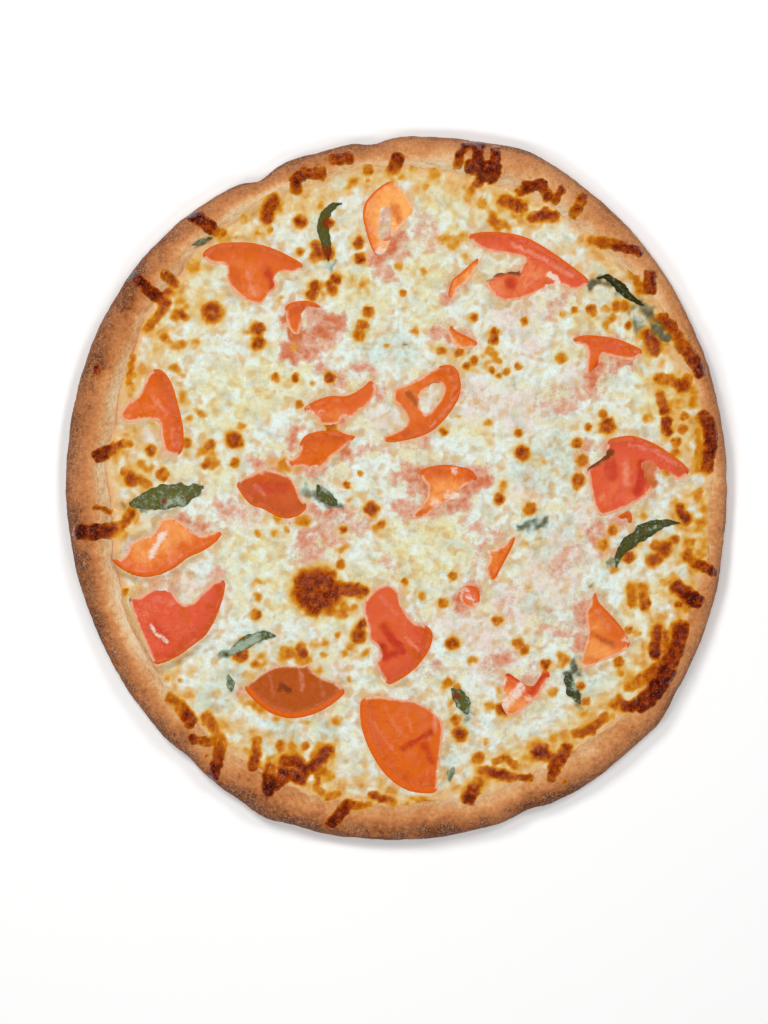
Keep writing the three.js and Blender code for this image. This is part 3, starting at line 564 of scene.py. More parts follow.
SLICES = (
    tomato((-102, 121, -95, 126, -86, 127.3, -76, 127.2, -67, 125.2, -58, 121.5, -47, 115.3),
        (-53, 110.5, -60, 111.3, -63, 108.5, -61, 104.5, -66, 99.8, -69, 94.8, -76, 94.8, -85, 101.5,
         -89.5, 108, -88, 115.5, -97, 115.5),
        light=0.15, red=((2.4, 0.8, -67, 112, -63.5, 107, -64, 104),),
        gold=((2.6, 0.9, -85, 113, -83, 106), (2.6, 0.8, -68.5, 114, -66, 108)),
        pale=((1.6, 0.6, -78, 112, -74, 99),),
    ),
    tomato((-3, 160, -11, 155, -17, 148, -18.3, 141, -16, 132, -14, 125, -11, 120),
        (-6, 121, -2, 130, 4, 137, 10, 141, 8, 148, 3, 155),
        (-6, 146, -8.5, 138, -8, 129, -4, 128, -4, 138),
        redness=0.2, light=0.8, gold=((2.6, 0.9, -1, 145, 1, 139),),
        pale=((1, 0.5, -12, 150, -13.5, 138, -11.5, 126),), film=((4, 0.7, -8, 122),),
    ),
    tomato((36, 131, 43, 132.8, 52, 132.9, 60, 132, 67.5, 130, 75, 126, 83, 120.8, 91, 115, 101, 107.2),
        (97, 103.5, 91.5, 101.5, 86, 105, 79, 104, 73, 100.5, 64, 97, 55, 96, 50, 99, 44.8, 106.8,
         50, 110.5, 57, 113, 63, 111.5, 64, 116, 67, 118.5, 59, 120.3, 49, 121.7, 41, 124.5),
        redness=0.75, light=0.2, red=((3.2, 1, 59, 106),), gold=((1.6, 0.9, 78, 106, 81, 104.5),),
        pale=((1.2, 0.7, 60, 126, 75, 119, 90, 110), (1, 0.6, 66, 104, 74, 109)),
        scorch=((0.9, 0.8, 46, 108, 51, 110.5, 57, 112.3, 63, 111.2),),
        film=((1.4, 0.9, 79.5, 110.5, 84, 106),),
    ),
    tomato((42.5, 120, 38.5, 116.8, 34, 112.3, 27.8, 107.7, 26, 99),
        (28.5, 97.8, 31, 102, 36.5, 105.8, 40.3, 110.5, 42.5, 116),
        redness=0, light=0.7,
    ),
    tomato((90.5, 77.5, 96, 79.3, 104, 79, 112, 78, 119.5, 75.5, 128.8, 71),
        (123.5, 65, 112, 67.3, 106, 69, 106.5, 61, 102.5, 51.5, 99, 52, 97.5, 59, 98.8, 73, 93, 74),
        redness=0.5, light=0.15, red=((2.4, 0.7, 105, 64, 102.5, 58, 100.5, 53),),
        gold=((2.4, 0.6, 116, 65),), film=((2, 0.5, 100.5, 51.5),),
    ),
    tomato((109.5, 25, 114.5, 26.5, 121.5, 27.3, 129, 25.2, 136, 21.8, 143, 17, 149, 12.4, 152.7, 8.4),
        (146.5, 2.3, 140.5, 7, 135, 7.3, 130.5, 13.5, 132.5, 7, 133.5, 1, 131, -4, 122.5, -9, 110, -14.8,
         104, -15, 100.5, -5, 99, 6, 98, 10, 107, 15.5, 108.5, 21),
        redness=0.85, light=0.1, red=((3.2, 0.8, 111, 12, 111.5, 6), (2.6, 1, 127, 12, 127, 4, 125, -2)),
        gold=((1.6, 0.8, 131.6, 5, 131.2, 1), (1.2, 0.7, 107, 13, 113, 17)),
        pale=((2.4, 0.7, 118, 12, 119.5, 2), (1, 0.6, 121, 22, 134, 19, 144, 12)),
        scorch=((1.6, 1, 98.3, 10.3, 105, 14.4, 111, 18),),
    ),
    tomato((113.5, -15.3, 117, -13.2, 120.5, -11.5, 122.2, -14, 122, -19.5),
        (118, -17),
        redness=0.3, toasted=0.5,
    ),
    tomato((-124.5, 62.3, -119.7, 59.5, -115.8, 52.3, -113.7, 44.3, -111.3, 35, -110.3, 27, -111, 18),
        (-115, 16, -121, 18, -123, 26, -123, 34, -130, 35.2, -139, 32.8, -144.5, 36, -141, 44, -135, 46.8,
         -132.3, 52, -129.5, 59),
        light=0.1, gold=((2.2, 0.5, -136, 36), (2, 0.4, -128, 52)),
        pale=((1.6, 0.6, -126, 46, -119, 38), (1.2, 0.5, -117, 30, -116, 22)),
    ),
    tomato((-58.5, 94.5, -53, 96.8, -47, 97.2, -42, 96, -37, 92.3),
        (-41, 93.2, -45.5, 93, -47.5, 89, -49.5, 84, -50, 79.3, -54, 79, -57, 83, -58, 89),
        redness=0,
    ),
    tomato((-48.5, 42, -42, 45.5, -34.5, 48, -27, 47.3, -21.5, 49.5, -16.5, 53, -13.8, 56.3),
        (-9.7, 52, -12, 46, -16, 41, -20.5, 39, -24, 34.5, -28, 37, -30, 32.4, -39.5, 31.7, -42, 36.5,
         -48, 39.5),
        light=0.25, gold=((3, 0.5, -38, 34, -33, 33.5),), scorch=((2, 0.25, -36, 33),),
        film=((2.6, 0.45, -46, 41, -40, 39), (2.2, 0.5, -24, 37)),
    ),
    tomato((-50.5, 24, -47, 28, -39, 29.7, -31, 29.8, -26, 27.5, -20.5, 26.8),
        (-25, 22.5, -30, 17.8, -33.5, 16, -36, 12, -43, 7.5, -48, 10.5, -51.5, 10.5, -55, 9, -59.5, 14.5,
         -53.5, 15.8, -50.8, 19),
        redness=0.15, light=0.05, film=((2.6, 0.5, -57, 13),),
    ),
    tomato((-84, 1.3, -80.5, -4, -76, -9.5, -70, -11, -64, -14.5, -57, -16.8, -50, -14.5, -46, -10),
        (-50, -4.5, -51.5, 1, -54.5, 5.5, -59, 7.5, -64, 9.5, -70.5, 10, -76, 6.8, -80.5, 5.5),
        redness=0.55, toasted=0.35, red=((4, 0.6, -70, 1, -60, 0),), gold=((2.4, 0.6, -59, 3, -55, 0),),
        pale=((1.6, 0.7, -73, 1, -69, -4), (0.6, 0.9, -72, 8.6, -70, 7)),
    ),
    tomato((24, 64, 29, 63.7, 32.3, 60, 33.5, 53.5, 32.5, 46.5, 29, 40.5, 23.5, 33.5, 17, 28, 9, 25.2,
         -5.5, 22.5),
        (-7.8, 27, -1, 29.5, 4, 32, 5, 35.5, 1.5, 41.5, -2.5, 44.5, -2.5, 52, 5, 54, 12, 57.5, 18, 61.5),
        (18, 51.7, 22.5, 54, 24, 51, 21.5, 45, 15, 37.5, 12.3, 42, 12.3, 48.5),
        redness=0.1, light=0.15, gold=((2.2, 0.4, 2, 47, 10, 50),),
        pale=((0.8, 0.5, 26, 60, 30, 53, 27, 42, 18, 32),),
        scorch=((1.8, 0.55, 6, 49, 9.5, 44), (1.2, 0.6, 18, 52.8, 21, 54)),
    ),
    tomato((11.5, 8.5, 17, 11.3, 25, 12.3, 33, 11, 39, 9.5, 42.5, 4.5),
        (38, 1.5, 33.5, 0, 33.5, -6, 27, -7, 21, -10.5, 15, -16, 7.5, -17, 8, -13, 15, -6.5, 16, 0, 13, 4),
        sunk=0.6, light=0.45, red=((2.6, 0.5, 38, 7, 40, 4.5),),
        gold=((3, 0.8, 20, 9, 24, 7), (2.4, 0.8, 16, -1), (2.6, 0.8, 11, -15, 17, -12)),
        film=((3.2, 0.7, 27, -4, 32, -5), (3, 0.6, 20, -8), (2, 0.7, 30, 9)),
    ),
    tomato((27.5, 85.5, 31, 80.8, 36.5, 78.8, 42.8, 75),
        (39, 72, 33.5, 71.3, 29, 74, 26.5, 78.5),
        redness=0.15, light=0.6,
    ),
    tomato((62, -24.8, 60.5, -30, 57, -36.5, 53.5, -43, 51, -48.5),
        (46.8, -47, 45.5, -42, 48, -37, 45.5, -32.5, 53, -31, 57.5, -27.5),
        sunk=0.4, redness=0.1, light=0.5, gold=((2, 0.6, 49, -44),), film=((1.6, 0.6, 47, -33, 53, -30),),
    ),
    tomato((32, -53, 36, -50.5, 42, -51.5, 43.5, -57),
        (42.5, -62.5, 36, -63, 32.5, -59),
        sunk=0.8, redness=0.6, light=0.4, film=((2.6, 0.6, 35, -54, 40, -60),),
    ),
    tomato((103, -53, 104.5, -59.5, 110, -64.7, 115, -70.2, 119, -75.7, 121.8, -81.5),
        (117, -86.5, 108, -89.8, 101, -93.7, 95.5, -93, 94.5, -88.5, 97.8, -82, 98.8, -73, 97, -65.5,
         100.5, -59),
        redness=0.2, light=0.4,
        gold=((2, 0.9, 101, -76, 107, -78, 112, -82), (1.8, 0.6, 99, -89, 104, -90)),
        pale=((1.4, 0.6, 103, -64, 110, -73),), scorch=((1, 0.45, 104, -77, 111, -81),),
        film=((2.6, 0.6, 119, -78),),
    ),
    tomato((-148.5, -37, -144, -41.5, -137, -45.5, -130, -46.8, -121, -45, -113.5, -40.8, -108.5, -36.3,
         -100, -33, -93.5, -28.3, -90, -23.5),
        (-94, -22.3, -101, -25, -106.5, -22, -111, -17.8, -117, -14.3, -123, -16.5, -125.5, -23.5,
         -132, -25.5, -138.5, -28.5, -140, -34.5, -144, -37.3),
        redness=0.5, light=0.45, peel=2.2,
        gold=((2.4, 0.5, -116, -31, -110, -30), (2, 0.5, -108, -20, -104, -26)),
        pale=((1.6, 0.6, -120, -20, -117, -38), (1.4, 0.5, -134, -31, -128, -40)),
        film=((1.3, 1, -121, -24, -124.5, -30, -127.5, -35.5),),
    ),
    tomato((-88.5, -48, -89.5, -55.5, -92, -63.5, -95, -70.5, -99, -77, -107, -83, -114, -88.2,
            -125, -92.6),
        (-128, -87.5, -131, -80, -135, -71, -138, -62, -139.8, -56.5, -133, -56.5, -129.5, -53.5,
         -119.5, -48.8, -116.3, -53, -111.5, -60, -107, -60, -101.5, -54.5, -94.5, -47.6),
        redness=0.85, light=0.05, peel=1.2, red=((3.4, 0.6, -126, -73, -120, -78),),
        gold=((1.6, 0.8, -111, -62, -109.5, -69),), pale=((3, 0.5, -125, -58, -117, -60),),
        # The film line on this slice is a painted highlight, the curved glint on its glossy seed pocket.
        scorch=((1.6, 0.6, -138.5, -57.5),), film=((0.3, 0.7, -127.5, -71, -125, -75.5, -119, -79.5),),
    ),
    tomato((-80, -104.5, -73, -112, -66, -117.5, -56, -120.3, -47, -119.2, -38, -115.7, -30.5, -110.5,
         -26, -105.8),
        (-31, -101, -40, -97.7, -44, -94.3, -45.8, -90.8, -50, -92.5, -60, -91.2, -69, -94.5, -77, -101),
        redness=0.05, toasted=0.75, peel=3.4,
        pale=((0.6, 0.6, -50, -95, -49, -106), (0.6, 0.5, -66, -98, -64, -108),
            (0.6, 0.5, -40, -101, -38, -108)),
        scorch=((0.7, 1, -60, -102.6, -56, -105.4), (0.5, 0.6, -60.5, -103.5, -61, -105)),
    ),
    tomato((17, -71.8, 19.2, -77, 17.5, -83.5, 13, -90.3, 8, -95.7, 1.5, -100, -4.6, -103),
        (-8, -98.5, -12.3, -91, -9, -88, -10, -83.3, -15, -79.5, -15.5, -72, -18.8, -62.5, -14.5, -54.5,
         -9, -50.8, -4, -49.7, 1, -53, 2, -58.5, 6, -66, 10, -70.3),
        redness=0.65, toasted=0.1, light=0.05,
        red=((2.2, 1, -7, -72, -2.5, -79, 3, -84.5, -6, -88, -8, -82),),
        gold=((1.8, 0.7, 15, -74, 16.5, -78), (1.8, 0.6, -7, -83)),
        pale=((2, 0.5, -8, -57, 0, -66), (0.8, 0.6, 5, -78, 11, -84)), scorch=((1.6, 0.5, -7.5, -83),),
    ),
    tomato((-19, -109.3, -19.5, -116, -18.8, -124.5, -16, -133, -12, -141, -6.5, -149, 0.5, -155,
            8.5, -158.5,
         21.5, -159),
        (21.8, -148, 24, -133, 24.8, -124.5, 22.5, -118.5, 17, -113.8, 9, -110, 0, -109.3, -10, -107.5),
        redness=0.35, toasted=0.1, light=0.05, peel=4.2,
        red=((1.8, 0.8, 14, -134, 18, -142), (1, 0.9, 3, -135.6, 10, -131.5, 18, -127)),
        gold=((1, 0.5, 12.5, -137, 13, -144),),
        pale=((1.2, 0.7, 20, -118, 19.5, -126), (0.8, 0.5, -6, -114, 2, -128),
            (0.8, 0.5, 4, -113, 8, -126), (0.8, 0.5, -12, -122, -1, -138)),
    ),
    tomato((56.5, -95, 62, -98.5, 67, -102.5, 71, -103, 74, -98, 76.5, -93.5, 80.5, -97),
        (77, -102.5, 73.5, -109, 67, -115, 59, -120, 54, -115, 53.5, -104),
        sunk=0.6, redness=0.6, light=0.45,
        red=((1.2, 0.7, 57, -96, 65, -99.5), (1.6, 0.8, 70, -106, 75, -98, 79, -98)),
        gold=((1.8, 0.7, 77, -93),),
        film=((3, 0.75, 57, -112, 64, -104), (2, 0.6, 68, -110), (2, 0.6, 55.5, -101)),
    ),
)


@dataclass(frozen=True)
class Leaf:
    """One wilted leaf: the line down its middle, its half width, and where cheese smear and painted sheen
    lie over it.
    """

    spine: tuple[Point, ...]
    half: float
    dark: float
    smear_and_sheen: float
    film: tuple[Stroke, ...] = ()
    scorch: tuple[Stroke, ...] = ()


def leaf(spine: Row, half: float, dark: float, smear_and_sheen: float, **marks: tuple[Row, ...]) -> Leaf:
    """A leaf from its middle line, given as x and y in turn, and marks given as rows for lines."""
    return Leaf(corners(spine), half, dark, smear_and_sheen, **{name: lines(*rows) for name, rows in marks.items()})


LEAVES = (
    leaf((-28.8, 147.3, -33, 146.3, -37.2, 142, -38.8, 136, -37.5, 130, -36, 124, -35.5, 117.5),
         3, 0.45, 0.1, scorch=((3, 0.9, -36, 137), (4.4, 1, -36.5, 121))),
    leaf((-106, 125.6, -101, 126.9, -95.5, 129.5), 1.3, 0.35, 0.4),
    leaf((103.4, 108.4, 109, 109.6, 114, 105.5, 120, 99.5, 127.7, 94.5),
         2.4, 1, 0.1, film=((1.2, 0.5, 104, 108.6),)),
    leaf((-41, 1.5, -39.5, -2.5, -36, -5.5, -31, -9), 3.2, 0.5, 0.3, film=((1.6, 0.6, -39, 0, -35, -3),)),
    leaf((-139, -8.6, -130, -6.8, -120, -4.6, -110, -3.6, -100.5, 0.5),
         6.5, 0.4, 0.3, film=((2, 0.75, -120, -8, -114, -6.5, -110, -9),
             (1.6, 0.6, -127, -9)), scorch=((1.6, 0.8, -121, -7), (1.2, 0.7, -109, -5.5))),
    leaf((146.5, -18.5, 139, -18.2, 132, -20.6, 125, -25, 118.5, -30, 115, -35, 113.5, -41.5),
         3.6, 0.6, 0.2, film=((1.6, 0.5, 136, -20, 130, -22), (1.8, 0.6, 114.5, -38))),
    leaf((-63, -77, -69, -76.5, -76, -79, -83, -83.5, -89, -87),
         3, 0.5, 0.4, film=((2.4, 0.9, -72, -77.5, -80, -82, -86, -85.5),)),
    leaf((-87.5, -97, -86.5, -101.5, -86, -106), 2, 0.5, 0.6, film=((1.2, 0.5, -87, -98),)),
    leaf((28, -104.5, 32, -108, 34.5, -112, 36.5, -117.5),
         3.6, 0.45, 0.35, film=((1.4, 0.5, 36, -116),), scorch=((2.2, 0.7, 31, -108),)),
    leaf((27.4, -152.5, 27.6, -148.5, 29.5, -145), 1.6, 0.4, 0.7, film=((1.4, 0.8, 28, -150),)),
    leaf((87.5, -95.5, 89, -99, 90, -103.5, 92.5, -108, 95, -112.5),
         3.2, 0.7, 0.3, film=((1.8, 0.8, 92, -98, 93, -104), (1.2, 0.6, 91, -110))),
)

# Browned bubbles of the cheese, from well browned to golden
BLISTERS = spots(
    1, -96, 91, 5.8, -49, -86, 3, -36, 137, 3.4, -36.5, 122, 4, -32, 108, 3.4, -43, 104, 3.4, -44, 100, 3.2,
    53, -6, 2.8, 65, 18, 4, -85, 25, 4.4, -20, 127, 3.2, -19, 119, 3.2, 94, 4, 3.6, 29, -81, 3.6,
    55, -115, 3.6, -20, -77, 4.4, -18, -71, 3.2, -81, -87, 4, -79, -81, 3.2, 139, -32, 4.4, 109, 32, 4.4,
    -13, -11, 4, -50, 138, 3.6, 120, -36, 3.4, -72, 82, 3.8, -72, 75, 3.8, -138, 4, 3.8, -35, 57, 3,
    77, -92, 2.8, 32.7, -127.9, 4, 55.5, -115, 3.8,
) + spots(
    0.8, 148.1, 30.4, 2.8, 149.2, 37.1, 2.6, 145, 23.6, 3, -127.5, 19.5, 3.4, -121.8, 6.5, 3.6,
    30.6, -120.7, 3.2, 42, -140.4, 3.6, -15, 164.8, 3, 114.9, -90.4, 3, 152.8, -28.3, 2.6, 143.9, -27.2, 3,
    -15, 91, 3.2, -18, 84, 3.4, -20, 79, 3.6, -82, 23, 3, -97, 22, 3.2, -99, 12, 2.8, -109, 23, 3.2,
    -122, 7, 3.6, 101, 92, 3.2, 114, 94, 3, 32, 70, 2.8, 23, 71, 2.8, 63, 28, 2.4, -73, -66, 3.2,
    -50, -83, 3.2, 63, -81, 3.2, 66, -84, 3, 69, -11, 3.6, 107, 38, 2.6, 93, 23, 3.2, 96, 14, 3.2,
    118, 94, 3.4, 98, -111, 2.4, 95, -103, 2.6, 120, -74, 2.4, 133, 87, 3, 144, 18, 2.6, -63, 57, 2.4,
    -53, 57, 2.2, -51, 43, 2.2, -84, 13, 2.8, 40, 66, 2.8, 24, -60, 2.8, 52, -69, 3.2, 54, -6, 2.6,
    134, -30, 3, 115, -91, 2.8, 112, -22, 3, 107, -30, 3, -90, 132, 2.4, 36, 63, 2.2, 49, 61, 2, 57, 60, 2,
    63, 63, 2, 53, 58, 1.8, 4, -49, 2, 29, -46, 2.4, -28, -22, 2.6, -8, -19, 2.6, -29, -40, 2.6,
    -141, -54, 2, -156, 60, 2.6, -120, 110, 2.2, -121, 78, 2.4, 92, 92, 2.2, 120, 84, 2.4, 24, 29, 2.4,
    3, 101, 2, 40, 88, 2.4, 66, 86, 2.4, 31, -104, 2.4, 99, 31, 2, -26, 1, 2, -48, -134, 2.2,
) + spots(
    0.55, 130.5, 36.1, 3.4, 138.7, -49.3, 3, 146, 43.3, 4, 115.7, -96.4, 2.6, 124.4, -75.7, 2.6,
    -48, -134.2, 2.6, -34.6, -149.7, 3, 4.9, -164.3, 2, 25.4, -164.3, 2.4, 46.2, -131.6, 2.2, 81.5, -130, 3,
    97, -117.6, 3, 48.3, -112.9, 3.2, -86.5, 142, 2, -79.2, 138.8, 3, -65.5, 133.6, 2, -15, 159.6, 1.8,
    2.1, 161.1, 2, 8.8, 165.8, 3, 15, 156, 2.4, 19.2, 163.2, 4, 27.5, 167.4, 3, 44.1, 147.7, 3.4,
    50.3, 138.3, 3, 60.7, 141.4, 3, -72, 132, 2, -83, 130, 1.8, -59, -84, 2.4, -119, -99, 2,
    -113, -100, 1.6, 46, -132, 2, 125, -76, 2, 155, -3, 2, 163, -10, 1.6, 112, -119, 2, 87, -152, 1.8,
    108, 93, 2.6, -112, 91, 3, -112, 97, 2.6, 86, 90, 2.2, -137, 58, 2.4, -139, 68, 2.2, -137, 51, 1.8,
    -119, 96, 3, -123, 90, 3, -128, 83, 2.8, -106, 115, 4.6, -109, 118, 3, 29, 127, 4.8, 24, 129, 3.4,
    14, 112, 2.6, 1, 115, 2.6, -72, -24, 2.6, -64, -24, 2.2, -57, -22, 2.2, -38, -87, 2.4, 13, -56, 2.8,
    48, -113, 3.2, 143, -27, 3, 81, -106, 3.2, -115, -110, 2.6, -48, -60, 3,
) + lines(
    (6.6, 1.12, -47, -49, -38, -48, -35, -56, -43, -60, -48, -55, -42, -53),
    (3.6, (1, 0.8), -31, -52, -18, -54), (3.8, 1, -68, 140, -64.5, 149), (3.4, 0.75, -35, 33, -33, 28),
    (2.4, (0.9, 0.95), 50.8, 81, 49.8, 76), (2.6, 0.6, 48, 71, 52, 66),
)

# Faint golden spots and patches
SMUDGES = lines(
    (4, 0.5, -48, 122, -42, 120), (3.5, (0.45, 0.5), -115, 90, -119, 101),
    (4, (0.45, 0.5), 49, 140, 55, 134), (4.2, (0.45, 0.5), -24, -62, -35, -65),
    (3.5, (0.3, 0.35), -54, -18, -48, -17), (4, (0.4, 0.45), 156, -6, 158, -34),
    (4, (0.3, 0.4), 146, -48, 152, -62), (3.6, (0.45, 0.5), -66, -138, -74, -146),
    (4, (0.4, 0.5), -45, -138, -38, -146), (3.5, (0.3, 0.35), -53, -92, -46, -90),
    (3.5, 0.4, 152, 50, 154, 44), (3.4, (0.35, 0.4), 126, 104, 122, 112),
    (3.4, (0.3, 0.35), 136, -51, 142, -53), (3, (0.25, 0.3), -58, -92, -41, -94),
    (4, 0.35, -20, 107, -14, 103), (3, (0.45, 0.4), 9, -160, 16, -162), (3, 0.3, -84, 3, -80, 0),
    (3, (0.25, 0.3), -68, -18, -62, -16), (3, (0.35, 0.3), -66, -117, -58, -121),
    (3, (0.3, 0.25), -78, -98, -74, -100), (3.2, (0.25, 0.3), -110, 42, -113, 52),
    (3, (0.3, 0.35), -113, 86, -110, 90), (3, (0.35, 0.3), 24, -107, 28, -112),
    (3, (0.35, 0.3), -38, 102, -37, 98), (3.5, (0.35, 0.4), -133, 12, -128, 9),
    (3, (0.35, 0.3), 55, 1, 54, -4), (4, (0.45, 0.4), -72, -52, -70, -56),
    (3, (0.35, 0.4), -24, -82, -22, -86), (4, (0.4, 0.35), 113, 87, 110, 84),
    (4, 0.5, -61, -136, -57, -134), (5, (0.75, 0.7), -118, 94, -113, 91),
    (4, (0.35, 0.3), -11, -23, -7, -22), (4, 0.6, 153, -30, 152, -36),
    (5, (0.45, 0.4), -76, -110, -72, -113), (4.5, (0.45, 0.4), -99, 17, -95, 14),
    (3, 0.4, -26, 158, -22, 158), (4.5, (0.5, 0.4), -57, -87, -54, -90), (4, 0.4, -58, 12, -55, 11),
    (4, 0.4, -106, 38, -103, 36), (4, 0.6, -43, 125, -41, 121), (4, (0.6, 0.5), -37, 106, -34, 103),
    (4, 0.55, 135, -36, 132, -38), (4, 0.4, -116, 61, -113, 60), (3.4, (0.7, 0.8), 129, 79, 132, 75),
    (3.6, 0.5, 116, -110, 113, -112), (3.4, (0.4, 0.35), -105, 75, -102, 73),
    (3.6, (0.45, 0.4), 86, -90, 83, -88), (3.6, (0.4, 0.35), -31, -33, -28, -31),
    (3.6, (0.4, 0.35), -73, -91, -70, -89), (3.4, (0.4, 0.35), 25, -101, 28, -104),
    (3.2, (0.4, 0.35), -25, -5, -22, -3), (3.4, 0.4, -42, -83, -39, -81), (3.2, 0.4, 45, 66, 43, 63),
    (3.4, 0.35, -119, 74, -116, 72), (3, (0.4, 0.35), 113, -42, 110, -29),
)
